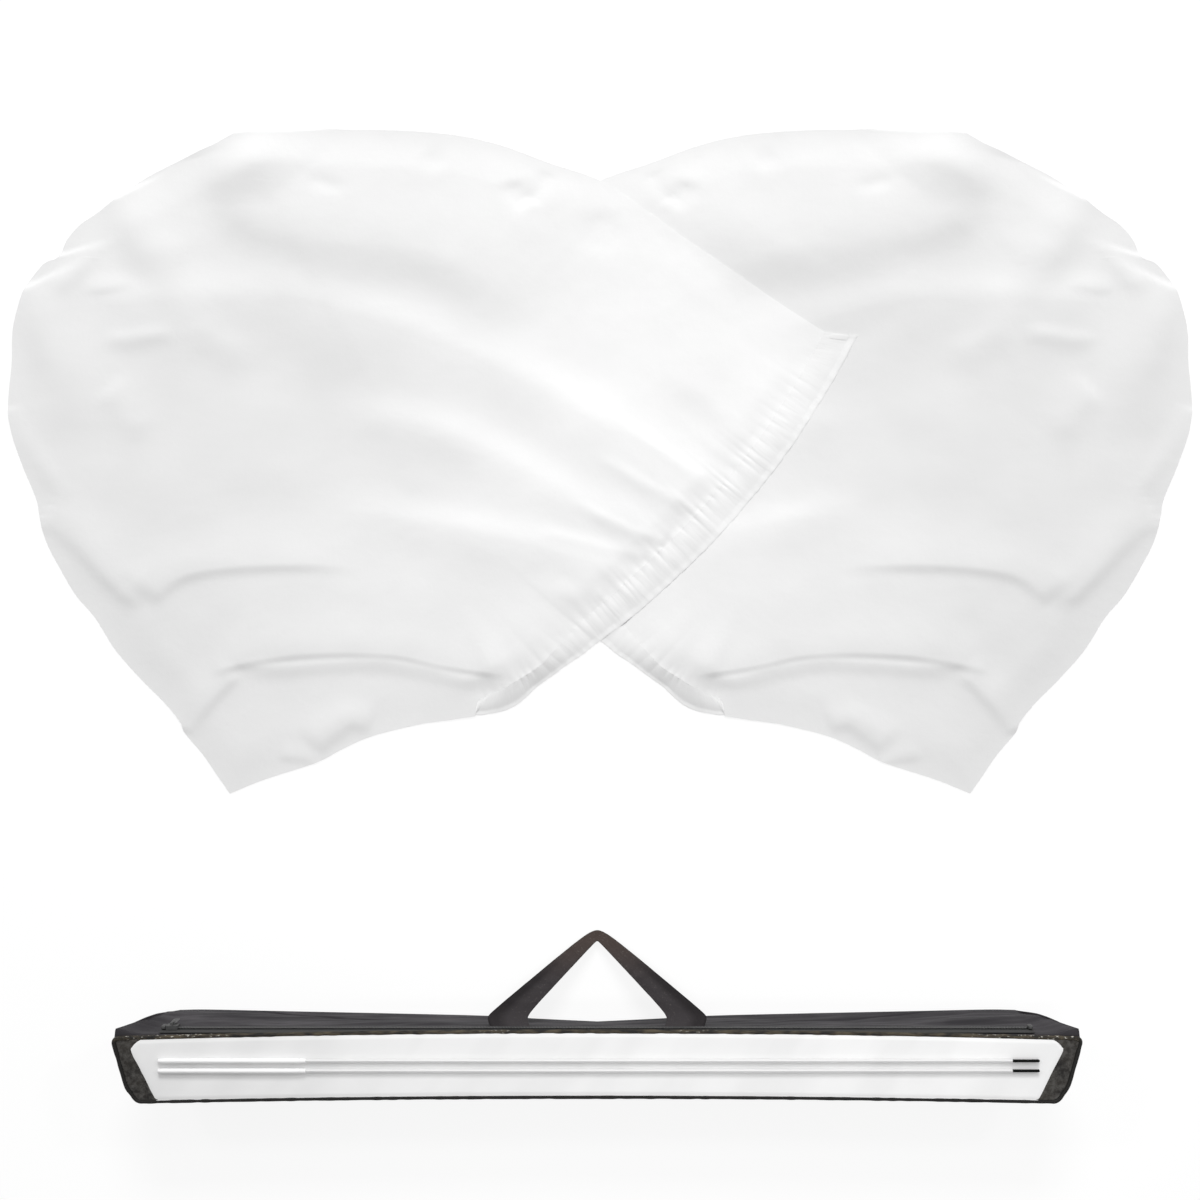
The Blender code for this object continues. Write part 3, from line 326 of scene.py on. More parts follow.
def left_normals(line):
    """Unit normals to a line's left: its tangents turned by a quarter."""
    tangent = np.gradient(line, axis=0)
    tangent /= np.linalg.norm(tangent, axis=1)[:, None]
    return np.stack([-tangent[:, 1], tangent[:, 0]], axis=1)


def beside(places, line):
    """How far along a line each place lies, and how far to the line's left. Each place is projected on every
    stretch of the line, and the nearest stretch is kept."""
    start, step = line[:-1], np.diff(line, axis=0)
    length = np.linalg.norm(step, axis=1)
    gap = places[:, None, :] - start[None]
    share = np.clip((gap * step).sum(-1) / length**2, 0, 1)
    distance = np.linalg.norm(gap - share[..., None] * step, axis=-1)
    best = distance.argmin(axis=1)
    rows = np.arange(len(places))
    side = step[best, 0] * gap[rows, best, 1] - step[best, 1] * gap[rows, best, 0]
    run = line_length(line)[best] + share[rows, best] * length[best]
    return run, np.sign(side) * distance[rows, best]


def soft_waves(a, b, seed):
    """Random hills from -1 to 1 with smooth slopes: seeded heights on a unit lattice, eased between with the
    quintic step in both directions."""
    heights = np.random.default_rng(seed).uniform(-1, 1, (LATTICE, LATTICE))
    cell_a, cell_b = np.floor(a).astype(int), np.floor(b).astype(int)
    part_a, part_b = a - cell_a, b - cell_b
    ease_a = part_a**3 * (part_a * (6 * part_a - 15) + 10)
    ease_b = part_b**3 * (part_b * (6 * part_b - 15) + 10)
    row, next_row = cell_a % LATTICE, (cell_a + 1) % LATTICE
    column, next_column = cell_b % LATTICE, (cell_b + 1) % LATTICE
    near = heights[row, column] * (1 - ease_a) + heights[next_row, column] * ease_a
    far = heights[row, next_column] * (1 - ease_a) + heights[next_row, next_column] * ease_a
    return near * (1 - ease_b) + far * ease_b


def wander(run, pitch, seed, amount, pitches):
    """A slow random change along a line: up to the amount either way, over the given number of pitches."""
    return amount * soft_waves(run / (pitches * pitch), 0 * run, seed)


def uneven_wave(run, pitch, seed):
    """A wave from 0 to 1 whose pitch and height wander: a cosine of a phase that drifts slowly."""
    drift = wander(run, pitch, seed, *WAVE_DRIFT)
    swell = 1 - WAVE_SWELL[0] + wander(run, pitch, seed + 1, *WAVE_SWELL)
    return swell * (1 - np.cos(2 * np.pi * (run / pitch + drift))) / 2


def puckers(run, pitch, seed):
    """Rounded pleats with sharp hollows between them, from 0 to 1: the size of a sine whose phase and height
    wander."""
    drift = wander(run, pitch, seed, *PUCKER_DRIFT)
    swell = 1 - PUCKER_SWELL[0] + wander(run, pitch, seed + 1, *PUCKER_SWELL)
    return swell * np.abs(np.sin(np.pi * (run / pitch + drift))) ** PUCKER_ROUNDNESS


# Meshes from grids


def grid(first, second):
    """Every pair of two lists, as two arrays."""
    return np.meshgrid(first, second, indexing="ij")


def full_turn(count):
    """Even angles round a circle."""
    return np.linspace(0, 2 * math.pi, count, endpoint=False)


def quads(index):
    """Four corners for each face of a grid."""
    return np.stack([index[:-1, :-1], index[1:, :-1], index[1:, 1:], index[:-1, 1:]], -1).reshape(-1, 4)


def grid_normals(points):
    """Unit normals on a grid: the cross product of its two directions' slopes."""
    across = np.cross(np.gradient(points, axis=0), np.gradient(points, axis=1))
    return across / np.maximum(np.linalg.norm(across, axis=-1, keepdims=True), 1e-12)


def mesh_object(name, points, faces, uv_corners=None, sharp=None):
    """A smooth mesh, whose edges stay sharp where its faces turn by more than the given degrees."""
    mesh = bpy.data.meshes.new(name)
    mesh.from_pydata(points.reshape(-1, 3).tolist(), [], faces)
    if uv_corners is not None:
        layer = mesh.uv_layers.new(name="UVMap")
        layer.data.foreach_set("uv", np.asarray(uv_corners, np.float32).ravel())
    mesh.polygons.foreach_set("use_smooth", np.ones(len(mesh.polygons), bool))
    if sharp:
        mesh.set_sharp_from_angle(angle=math.radians(sharp))
    obj = bpy.data.objects.new(name, mesh)
    bpy.context.scene.collection.objects.link(obj)
    return obj


def surface(name, points, uv=None, round_first=False, round_second=False, capped=False, turned=False):
    """A smooth mesh on a grid of points. A round direction joins its last line to its first, and caps close
    the first and last lines of a tube. uv, in metres, has one more line in each round direction."""
    rows, columns = points.shape[:2]
    index = np.arange(rows * columns).reshape(rows, columns)
    if round_first:
        index = np.concatenate([index, index[:1]], axis=0)
    if round_second:
        index = np.concatenate([index, index[:, :1]], axis=1)
    uv_index = np.arange(index.size).reshape(index.shape)
    order = slice(None, None, -1) if turned else slice(None)
    faces = quads(index)[:, order].tolist()
    uv_corners = quads(uv_index)[:, order].ravel()
    if capped:
        faces += [index[0, :columns][order].tolist(), index[-1, :columns][::-1][order].tolist()]
        ends = np.concatenate([uv_index[0, :columns][order], uv_index[-1, :columns][::-1][order]])
        uv_corners = np.concatenate([uv_corners, ends])
    uv = None if uv is None else uv.reshape(-1, 2)[uv_corners]
    return mesh_object(name, points, faces, uv, SHARP_TURN if capped else None)


def sheet(name, points, uv, thickness, turned=False):
    """A closed sheet on a grid: the outer face at the points, the inner face set back along the normals, and
    a narrow rim round all four edges."""
    rows, columns = points.shape[:2]
    back = points - grid_normals(points) * thickness * (-1 if turned else 1)
    outer = np.arange(rows * columns).reshape(rows, columns)
    inner = outer + rows * columns
    loop = np.concatenate([outer[:-1, 0], outer[-1, :-1], outer[:0:-1, -1], outer[0, :0:-1]])
    following = np.roll(loop, -1)
    rim = np.stack([following, loop, loop + rows * columns, following + rows * columns], axis=-1)
    corners = np.concatenate([quads(outer), quads(inner)[:, ::-1], rim])
    if turned:
        corners = corners[:, ::-1]
    both = np.concatenate([points.reshape(-1, 3), back.reshape(-1, 3)])
    uv_both = np.concatenate([uv.reshape(-1, 2)] * 2)
    return mesh_object(name, both, corners.tolist(), uv_both[corners.ravel()], SHARP_SHEET)


def grid_uv(first, second):
    """UV places in metres from two lists of distances."""
    return np.stack(grid(first, second), axis=-1)


def tag(obj, name, values):
    """Keeps one number for each point, which the finish reads."""
    attribute = obj.data.attributes.new(name, "FLOAT", "POINT")
    attribute.data.foreach_set("value", np.asarray(values, np.float32).ravel())


def dress(obj, body, slot, finish, *nodes):
    """Gives a piece its finish, hangs it on its body and lets it stand for its solids."""
    obj.data.materials.append(finish)
    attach(obj, body)
    if nodes:
        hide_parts(*nodes)
    return obj


def repeated(name, template, faces, centres, axes):
    """Many copies of one small closed shape: each template point is carried by a copy's own three axes and
    put at its centre."""
    points = centres[:, None, :] + np.einsum("pk,nkc->npc", template, axes)
    shift = np.arange(len(centres))[:, None] * len(template)
    corners = [(np.asarray(face)[None, :] + shift).tolist() for face in faces]
    return mesh_object(name, points, [face for group in corners for face in group])


def bead(rings, sides, half_length, radius_across, radius_up, squareness=1.0):
    """A small rounded bar along its first axis: an ellipse whose size follows a power of the sine."""
    turn = np.linspace(BEAD_OPENING, math.pi - BEAD_OPENING, rings)[:, None]
    around = full_turn(sides)[None, :]
    size = np.sin(turn) ** squareness
    points = np.stack([-half_length * np.cos(turn) + 0 * around,
                       radius_across * size * np.cos(around),
                       radius_up * size * np.sin(around)], axis=-1)
    index = np.arange(rings * sides).reshape(rings, sides)
    closed = np.concatenate([index, index[:, :1]], axis=1)
    faces = quads(closed)[:, ::-1].tolist()
    faces += [index[0][::-1].tolist(), index[-1].tolist()]
    return points.reshape(-1, 3), faces


# Finishes


def finish_of(name, **sockets):
    """A new material with a Principled shader, whose plain values are set on its own sockets."""
    material = bpy.data.materials.new(name)
    material.use_nodes = True
    tree = material.node_tree
    shader = tree.nodes["Principled BSDF"]
    for socket, value in sockets.items():
        shader.inputs[socket.replace("_", " ")].default_value = value
    return material, tree, shader


def node(tree, kind, inputs=None, **settings):
    """A node with its settings and inputs: an input is a value, or another node's output."""
    made = tree.nodes.new("ShaderNode" + kind)
    for key, value in settings.items():
        setattr(made, key, value)
    for key, value in (inputs or {}).items():
        if isinstance(value, bpy.types.NodeSocket):
            tree.links.new(value, made.inputs[key])
        else:
            made.inputs[key].default_value = value
    return made


def math_node(tree, operation, *values, clamp=False):
    made = node(tree, "Math", dict(enumerate(values)), operation=operation)
    made.use_clamp = clamp
    return made.outputs[0]


def mix_colour(tree, factor, first, second, how="MIX"):
    made = node(tree, "Mix", {0: factor, 6: first, 7: second}, data_type="RGBA", blend_type=how)
    return made.outputs[2]


def ranged(tree, value, low, high, to_low=0.0, to_high=1.0):
    """The value carried from one range to another, held at its ends."""
    made = node(tree, "MapRange", {0: value, 1: low, 2: high, 3: to_low, 4: to_high})
    return made.outputs[0]


def object_places(tree):
    return node(tree, "TexCoord").outputs["Object"]


def uv_places(tree, scale=(1, 1, 1)):
    return node(tree, "Mapping", {"Vector": node(tree, "UVMap").outputs[0], "Scale": scale}).outputs[0]


def noise(tree, places, scale, detail=3.0, roughness=0.5):
    inputs = {"Vector": places, "Scale": scale, "Detail": detail, "Roughness": roughness}
    return node(tree, "TexNoise", inputs).outputs[0]


def bands(tree, places, pitch, direction):
    """A wave across the surface with the given pitch in metres: Blender's bands repeat every 2 pi / 20."""
    inputs = {"Vector": places, "Scale": 2 * math.pi / 20 / pitch}
    made = node(tree, "TexWave", inputs, wave_type="BANDS", bands_direction=direction)
    return made.outputs["Fac"]


def weave(tree, places, pitch):
    """Threads both ways: the higher of two bands at each place."""
    return math_node(tree, "MAXIMUM", bands(tree, places, pitch, "X"), bands(tree, places, pitch, "Y"))


def set_colour(tree, shader, colour):
    """Links a colour to the shader."""
    tree.links.new(colour, shader.inputs["Base Color"])


def bump(tree, shader, height, strength, distance, under=None):
    """Raises a height on the shader's normal, over another bump where one is given."""
    inputs = {"Height": height, "Strength": strength, "Distance": distance}
    if under is not None:
        inputs["Normal"] = under
    made = node(tree, "Bump", inputs)
    tree.links.new(made.outputs[0], shader.inputs["Normal"])
    return made.outputs[0]


def tagged(tree, name):
    return node(tree, "Attribute", attribute_name=name).outputs["Fac"]


def grey(level, warm=0.0):
    """A grey, whose red is raised and blue lowered by the warm share."""
    return (level * (1 + warm), level, level * (1 - warm), 1.0)


THREAD = 0.0006                 # pitch of the satin's threads
SATIN_WEAVE = (0.12, 0.00008)   # strength and depth of its weave
BAG_THREAD = 0.0007             # pitch of the bag cloth's threads


def satin_finish():
    """Pale satin with painted light: whiter towards the hem, cloudy, with fine crumples and a close weave."""
    material, tree, shader = finish_of("panel_satin", Roughness=0.55, Specular_IOR_Level=0.25,
                                       Sheen_Weight=0.08, Sheen_Roughness=0.4)
    places = object_places(tree)
    # painted light: the satin's colour is whiter where more of the painted light along the hem is kept
    pale = mix_colour(tree, tagged(tree, "painted_hem_light"), grey(0.805), grey(0.925))
    clouds = ranged(tree, noise(tree, places, scale=14.0, detail=4.0), low=0.3, high=0.7)
    set_colour(tree, shader, mix_colour(tree, clouds, pale, grey(0.975), "MULTIPLY"))
    duller = ranged(tree, clouds, low=0, high=1, to_low=0.50, to_high=0.62)
    tree.links.new(duller, shader.inputs["Roughness"])
    crumples = noise(tree, places, scale=55.0, detail=5.0, roughness=0.55)
    crumpled = bump(tree, shader, crumples, strength=0.22, distance=0.0016)
    bump(tree, shader, weave(tree, places, THREAD), *SATIN_WEAVE, under=crumpled)
    return material


def casing_finish():
    """The same satin doubled over the elastic, a little whiter, with crosswise puckers."""
    material, tree, shader = finish_of("hem_satin", Roughness=0.55, Specular_IOR_Level=0.25,
                                       Sheen_Weight=0.08)
    places = uv_places(tree)
    clouds = noise(tree, places, scale=60.0, detail=3.0)
    set_colour(tree, shader, mix_colour(tree, clouds, grey(0.86), grey(0.91)))
    crosswise = noise(tree, uv_places(tree, (260, 40, 1)), scale=1.0, detail=2.0)
    puckered = bump(tree, shader, crosswise, strength=0.3, distance=0.0008)
    bump(tree, shader, weave(tree, places, THREAD), *SATIN_WEAVE, under=puckered)
    return material


def thread_finish():
    """White twisted thread with a little fuzz."""
    material, tree, shader = finish_of("sewing_thread", Roughness=0.6, Specular_IOR_Level=0.2)
    fuzz = noise(tree, object_places(tree), scale=900.0, detail=2.0)
    set_colour(tree, shader, mix_colour(tree, fuzz, grey(0.84), grey(0.91)))
    twist = bands(tree, object_places(tree), pitch=0.0005, direction="DIAGONAL")
    bump(tree, shader, twist, strength=0.3, distance=0.0001)
    return material


def elastic_finish():
    """Knitted elastic: ribs along the band and fine stitches across it."""
    material, tree, shader = finish_of("hem_elastic_knit", Roughness=0.8, Specular_IOR_Level=0.15)
    places = uv_places(tree)
    ribs = bands(tree, places, pitch=0.002, direction="Y")
    knit = bands(tree, places, pitch=0.0011, direction="X")
    shade = math_node(tree, "MULTIPLY", ribs, knit)
    set_colour(tree, shader, mix_colour(tree, shade, grey(0.62, warm=0.02), grey(0.80, warm=0.015)))
    bump(tree, shader, math_node(tree, "ADD", ribs, knit), strength=0.5, distance=0.0003)
    return material


# Panels


def metres(points):
    return np.asarray(points, float) * MM


TOP_LINE = smooth_line(metres(TOP_EDGE))
OUTER_LINE = smooth_line(metres(OUTER_EDGE))
BOTTOM_LINE = smooth_line(metres(BOTTOM_EDGE))
HEM_LINE = smooth_line(metres(HEM_EDGE))
STITCH = along(HEM_LINE, np.linspace(0, STITCH_SHARE, SAMPLES))
STITCH_RUN = line_length(STITCH)[-1]
HEM_OUT = left_normals(STITCH)
MIRROR = np.array([-1.0, 1.0])


def casing_width(share):
    """The casing's width from above at shares of the hem, on a smooth line through the listed ones."""
    return np.interp(share, *smooth_line(CASING_WIDTHS).T)


def drawn_on(place, towards, beyond):
    """A place past a line's end: straight on from one place through another."""
    step = np.asarray(towards) - np.asarray(place)
    return towards + step / np.linalg.norm(step) * beyond


HEADING = STITCH + casing_width(np.linspace(0, 1, SAMPLES))[:, None] * HEM_OUT
CASING_CORNER = HEADING[0] + CASING_WIDTH * CASING_FLARE * np.array([-HEM_OUT[0, 1], HEM_OUT[0, 0]])
LONG_HEADING = np.vstack([drawn_on(HEADING[1], HEADING[0], DRAWN_ON), HEADING[::THINNED],
                          drawn_on(HEADING[-2], HEADING[-1], DRAWN_ON)])
LONG_TOP = np.vstack([drawn_on(STITCH[0], CASING_CORNER, DRAWN_ON), TOP_LINE[::THINNED]])


def panel_patch(u, v):
    """Coons patch between the panel's four edges: the two ruled sheets added, less the bilinear one. u runs
    from the hem out, and v from the top edge down."""
    hem, outer = along(HEM_LINE, v), along(OUTER_LINE, v)
    top, bottom = along(TOP_LINE, u), along(BOTTOM_LINE, u)
    u, v = u[:, None], v[:, None]
    ruled = (1 - u) * hem + u * outer + (1 - v) * top + v * bottom
    upper = (1 - u) * HEM_LINE[0] + u * OUTER_LINE[0]
    lower = (1 - u) * HEM_LINE[-1] + u * OUTER_LINE[-1]
    return ruled - (1 - v) * upper - v * lower


def fold_height(places):
    """Sum of the folds. Across its crest each one is a bell curve with its own spread on either side, and it
    eases to nothing at both ends."""
    total = np.zeros(len(places))
    for points, height, spread_left, spread_right, rise, fall in FOLDS:
        line = smooth_line(metres(points), FOLD_SAMPLES)
        margin = FOLD_REACH * max(spread_left, spread_right) * MM
        low, high = line.min(axis=0) - margin, line.max(axis=0) + margin
        near = np.all((places > low) & (places < high), axis=1)
        if not near.any():
            continue
        run, offset = beside(places[near], line)
        spread = np.where(offset > 0, spread_left, spread_right) * MM
        ends = smooth_step(run / (rise * MM)) * smooth_step((line_length(line)[-1] - run) / (fall * MM))
        total[near] += height * MM * ends * np.exp(-((offset / spread) ** 2))
    return total


def slack(places):
    """Low waves of the cloth's own, from soft random hills of a few lengths."""
    return sum(height * soft_waves(places[:, 0] / length, places[:, 1] / length, seed)
               for length, height, seed in SLACK)


def pleat_strength(share):
    """The gathers are deepest below the middle of the hem and weak at its top."""
    grown = eased(share, *GATHER_GROWTH) * (1 - GATHER_LOSS * eased(share, *GATHER_LOSS_FADE))
    return GATHER_LEAST + (1 - GATHER_LEAST) * grown


def pleats(share, distance):
    """Short and long pleats that run square to the stitch line and die away from it exponentially."""
    run = share * STITCH_RUN
    change = GATHER_RUN_CHANGE * soft_waves(run / GATHER_RUN_LENGTH, 0 * run, SEED["gather_run"])
    short = GATHER_HEIGHT * puckers(run, GATHER_PITCH, SEED["gathers"])
    short *= np.exp(-distance / (GATHER_RUN * (1 + change)))
    long = LONG_GATHER_HEIGHT * uneven_wave(run, LONG_GATHER_PITCH, SEED["long_gathers"])
    long *= np.exp(-distance / LONG_GATHER_RUN) * smooth_step(distance / LONG_GATHER_START)
    return pleat_strength(share) * (short + long)


def hem_rise(share):
    """The lower end of the hem stands up and leans over."""
    kept = 1 - HEM_RISE_LOSS * eased(share, *HEM_RISE_FADE)
    return HEM_RISE * eased(share, *HEM_RISE_GROWTH) * kept


def rested(height):
    """Cloth that the ground holds up: half the sum of its height and the root of that height squared and a
    small square."""
    return (height + np.hypot(height, GROUND_SOFTNESS)) / 2


def hem_lift(share):
    """Height of the stitch line: its rise, and what is left there of the panel's folds."""
    return hem_rise(share) + rested(HEM_SHARE * fold_height(along(STITCH, share)))


def free_height(places):
    """Height of a panel's underside where nothing lies on it or under it: folds that sink towards the free
    edges and die into the hem, the cloth's own waves, and the hem's pleats and rise."""
    run, offset = beside(places, STITCH[::THINNED])
    share, hem_distance = run / STITCH_RUN, np.abs(offset)
    edge_distance = np.minimum.reduce([np.abs(beside(places, line[::THINNED])[1])
                                       for line in (TOP_LINE, OUTER_LINE, BOTTOM_LINE)])
    rim = smooth_step(edge_distance / RIM_RUN)
    inner = smooth_step(hem_distance / HEM_RUN)
    kept = (RIM_SHARE + (1 - RIM_SHARE) * rim) * (HEM_SHARE + (1 - HEM_SHARE) * inner)
    folds = fold_height(places) * np.maximum(kept, HEM_SHARE * (1 - inner))
    waves = (slack(places) + sum(height for _, height, _ in SLACK)) * rim * inner
    lift = hem_rise(share) * np.exp(-((hem_distance / HEM_RISE_RUN) ** 2))
    return rested(folds + waves) + lift + pleats(share, hem_distance)


def depth_inside(places):
    """How deep each place lies inside the left panel with its casing: a smooth lesser of its distances inside
    the free hem edge and the top edge, which is half their sum less half the root of their gap squared and a
    small square."""
    _, past_heading = beside(places, LONG_HEADING)
    _, past_top = beside(places, LONG_TOP)
    gap = np.hypot(-past_heading - past_top, CORNER_SOFTNESS)
    return (past_top - past_heading - gap) / 2


def pressing(places):
    """Share of its height that the right panel keeps at places on the ground, pressed under the left one."""
    return 1 - PRESS_SHARE * smooth_step((depth_inside(places) + PRESS_START) / PRESS_RUN)


def casing_ridge(places):
    """The rise over the right panel's casing: flat over its middle, eased down on both sides, and lower and
    steeper near the left panel's free edge."""
    _, aside = beside(places * MIRROR, (STITCH + CASING_WIDTH / 2 * HEM_OUT)[::THINNED])
    near_edge = 1 - smooth_step(depth_inside(places) / RIDGE_EDGE_REACH)
    run = RIDGE_RUN - (RIDGE_RUN - RIDGE_EDGE_RUN) * near_edge
    ridge = RIDGE_RISE * (1 - smooth_step((np.abs(aside) - RIDGE_CREST * CASING_WIDTH) / run))
    ridge *= 1 - (1 - RIDGE_EDGE_SHARE) * near_edge
    return ridge * (1 - RIDGE_EDGE_FALL * near_edge * eased(aside, *RIDGE_FALL_EASE))


def heading_step(mirrored):
    """The faint step at the casing's free edge, along two stretches of the hem."""
    run, edge = beside(mirrored, LONG_HEADING)
    share = (run - DRAWN_ON) / STITCH_RUN
    clear = eased(share, *STEP_START) * (1 - eased(share, *STEP_END)) + 1 - eased(share, *STEP_TOP_END)
    return RIDGE_STEP * clear * eased(edge, *STEP_RISE) * (1 - eased(edge, *STEP_FADE))


def lap(places):
    """How far the left panel is held up by the right one, the mirror image: it clears that panel's pressed
    cloth, rises gently over its casing, whose free edge leaves a faint line, and comes down to the ground
    outside them."""
    mirrored = places * MIRROR
    depth = depth_inside(mirrored)
    over = smooth_step((depth + LAP_RUN) / LAP_RUN)
    _, out = beside(mirrored, STITCH[::THINNED])
    cloth = free_height(mirrored) * smooth_step((LAP_EASE - out) / (2 * LAP_EASE))
    cloth *= smooth_step(depth / LAP_EASE)
    return over * LAP_CLEARANCE + casing_ridge(places) - heading_step(mirrored) + cloth * pressing(places)


class Panel:
    """One panel's grid of places on the ground, and the height of its underside at each."""

    def __init__(self):
        out = np.linspace(0, 1, STEPS_OUT + 1) ** HEM_CROWDING
        down = np.linspace(0, 1, STEPS_DOWN + 1)
        u, v = (a.ravel() for a in grid(out, down))
        self.shape = (STEPS_OUT + 1, STEPS_DOWN + 1)
        self.places = panel_patch(u, v)
        self.height = free_height(self.places)
        rows = self.places.reshape(*self.shape, 2)
        self.down = v
        self.hem_distance = np.linalg.norm(rows - rows[:1], axis=-1).ravel()
        self.uv = (np.stack([u, v], axis=-1) * SATIN_SPAN).reshape(*self.shape, 2)


panel = Panel()


def make_cloth(side, sign, height, finish):
    """The panel's cloth at its heights. Each point keeps its share of the painted light along the hem."""
    points = np.column_stack([panel.places * (sign, 1), BED + SATIN_THICKNESS + height])
    points = points.reshape(*panel.shape, 3)
    cloth = sheet(f"{side}_panel_satin", points, panel.uv, SATIN_THICKNESS, turned=sign < 0)
    # painted light along the hem, which fades out from it and in the panel's lower part
    whiter = 1 - eased(panel.hem_distance, *HEM_LIGHT_FADE)
    whiter *= 1 - HEM_LIGHT_LOSS * eased(panel.down, *HEM_LIGHT_LOSS_FADE)
    tag(cloth, "painted_hem_light", np.concatenate([whiter, whiter]))
    return dress(cloth, f"{side}_panel", "panel_cloth", finish, f"{side}_panel_cloth")


def hem_places(share, out):
    """Places beside the stitch line: square to it, but for its ends, which lean out."""
    square = along(HEM_OUT, share)
    back = np.stack([-square[:, 1], square[:, 0]], axis=1)
    upper = CASING_FLARE * (1 - smooth_step(share / CASING_FLARE_END))
    lean = upper - CASING_LOWER_FLARE * eased(share, *CASING_LOWER_EASE)
    return along(STITCH, share) + out[:, None] * (square + lean[:, None] * back)


def casing_layer(share, out, upper, lies):
    """Height of the casing's lower layer, where upper is 0, or its upper layer, where it is 1: a ruffle that
    grows towards the free edge, pleats at the stitch line, the hem's lean and, on top, the raised channel."""
    run = share * STITCH_RUN
    reach = np.clip(out / casing_width(share), 0, 1)
    across = np.clip(reach * CASING_WIDTH / (2 * CHANNEL_MIDDLE), 0, 1)
    channel = CHANNEL_RISE * np.sin(np.pi * across) ** CHANNEL_ROUNDNESS
    root = (SATIN_THICKNESS - CASING_CLOTH / 2) * (1 - smooth_step(out / ROOT_RUN))
    gap = CASING_LAYERS * smooth_step(out / LAYER_RUN) + channel + root
    ruffle = RUFFLE_HEIGHT * uneven_wave(run, RUFFLE_PITCH, SEED["ruffle"]) * reach**2
    gathers = pleats(share, np.maximum(out, 0)) * (LOWER_GATHERS + (1 - LOWER_GATHERS) * upper)
    lean = hem_lift(share) * (1 - reach) ** LEAN_POWER
    bed, press = lies(hem_places(share, out))
    return BED + bed + (ruffle + gathers + lean + gap * upper) * press + CASING_CLOTH / 2


def make_casing(side, sign, lies, finish):
    """Cloth folded round the elastic: the lower layer runs out to the free edge and the upper one back."""
    share = np.linspace(0, 1, CASING_STEPS + 1)
    turn = (1 + signed_power(np.linspace(-1, 1, CASING_ROUND + 1), CASING_CROWDING)) / 2
    s, w = (a.ravel() for a in grid(share, turn))
    reach = 1 - np.abs(2 * w - 1)
    swing = SCALLOP * (uneven_wave(s * STITCH_RUN, SCALLOP_PITCH, SEED["scallop"]) - 0.5)
    out = HEM_OVERLAP + (casing_width(s) + swing - HEM_OVERLAP) * reach
    z = casing_layer(s, out, eased(w, *CASING_TURN), lies)
    points = np.column_stack([hem_places(s, out) * (sign, 1), z])
    points = points.reshape(CASING_STEPS + 1, CASING_ROUND + 1, 3)
    uv = grid_uv(share * STITCH_RUN, turn * 2 * CASING_WIDTH)
    casing = sheet(f"{side}_hem_ruffle", points, uv, CASING_CLOTH, turned=sign > 0)
    return dress(casing, f"{side}_panel", "panel_cloth", finish, f"{side}_hem_casing")


def make_elastic(side, sign, lies, finish):
    """A flat band in the casing, midway between its layers: a rounded rectangle carried along the hem."""
    share, around = np.linspace(*ELASTIC_SPAN, ELASTIC_POINTS[0]), full_turn(ELASTIC_POINTS[1])
    s, a = (x.ravel() for x in grid(share, around))
    across = signed_power(np.cos(a), ELASTIC_SQUARE[0])
    up = signed_power(np.sin(a), ELASTIC_SQUARE[1])
    out = (CHANNEL_MIDDLE + ELASTIC_WIDTH / 2 * across) * casing_width(s) / CASING_WIDTH
    lower, upper = casing_layer(s, out, 0, lies), casing_layer(s, out, 1, lies)
    z = (lower + upper) / 2 + np.minimum(ELASTIC_THICKNESS / 2, ELASTIC_ROOM * (upper - lower)) * up
    points = np.column_stack([hem_places(s, out) * (sign, 1), z]).reshape(*ELASTIC_POINTS, 3)
    uv = grid_uv(share * STITCH_RUN, np.linspace(0, 2 * ELASTIC_WIDTH, len(around) + 1))
    band = surface(f"{side}_hem_band", points, uv, round_second=True, capped=True, turned=sign > 0)
    return dress(band, f"{side}_panel", "hem_elastic", finish, f"{side}_hem_elastic")


def make_stitches(side, sign, height, finish):
    """A row of thread beads along the stitch line, each lying in the line's direction."""
    count = int(STITCH_RUN / STITCH_PITCH)
    share = (np.arange(count) + 0.5) / count
    tangent = np.gradient(STITCH, axis=0)
    forward = along(tangent / np.linalg.norm(tangent, axis=1)[:, None], share) * (sign, 1)
    on_hem = height.reshape(panel.shape)[0]
    z = BED + np.interp(share * STITCH_SHARE, np.linspace(0, 1, len(on_hem)), on_hem) + SATIN_THICKNESS
    centres = np.column_stack([along(STITCH, share) * (sign, 1), z])
    zero, one = np.zeros(count), np.ones(count)
    axes = np.stack([np.column_stack([forward, zero]),
                     np.column_stack([-forward[:, 1], forward[:, 0], zero]),
                     np.column_stack([zero, zero, one])], axis=1)
    template, faces = bead(*STITCH_POINTS, STITCH_LENGTH / 2, STITCH_RADIUS, STITCH_RADIUS)
    row = repeated(f"{side}_hem_stitches", template, faces, centres, axes)
    return dress(row, f"{side}_panel", "panel_cloth", finish)


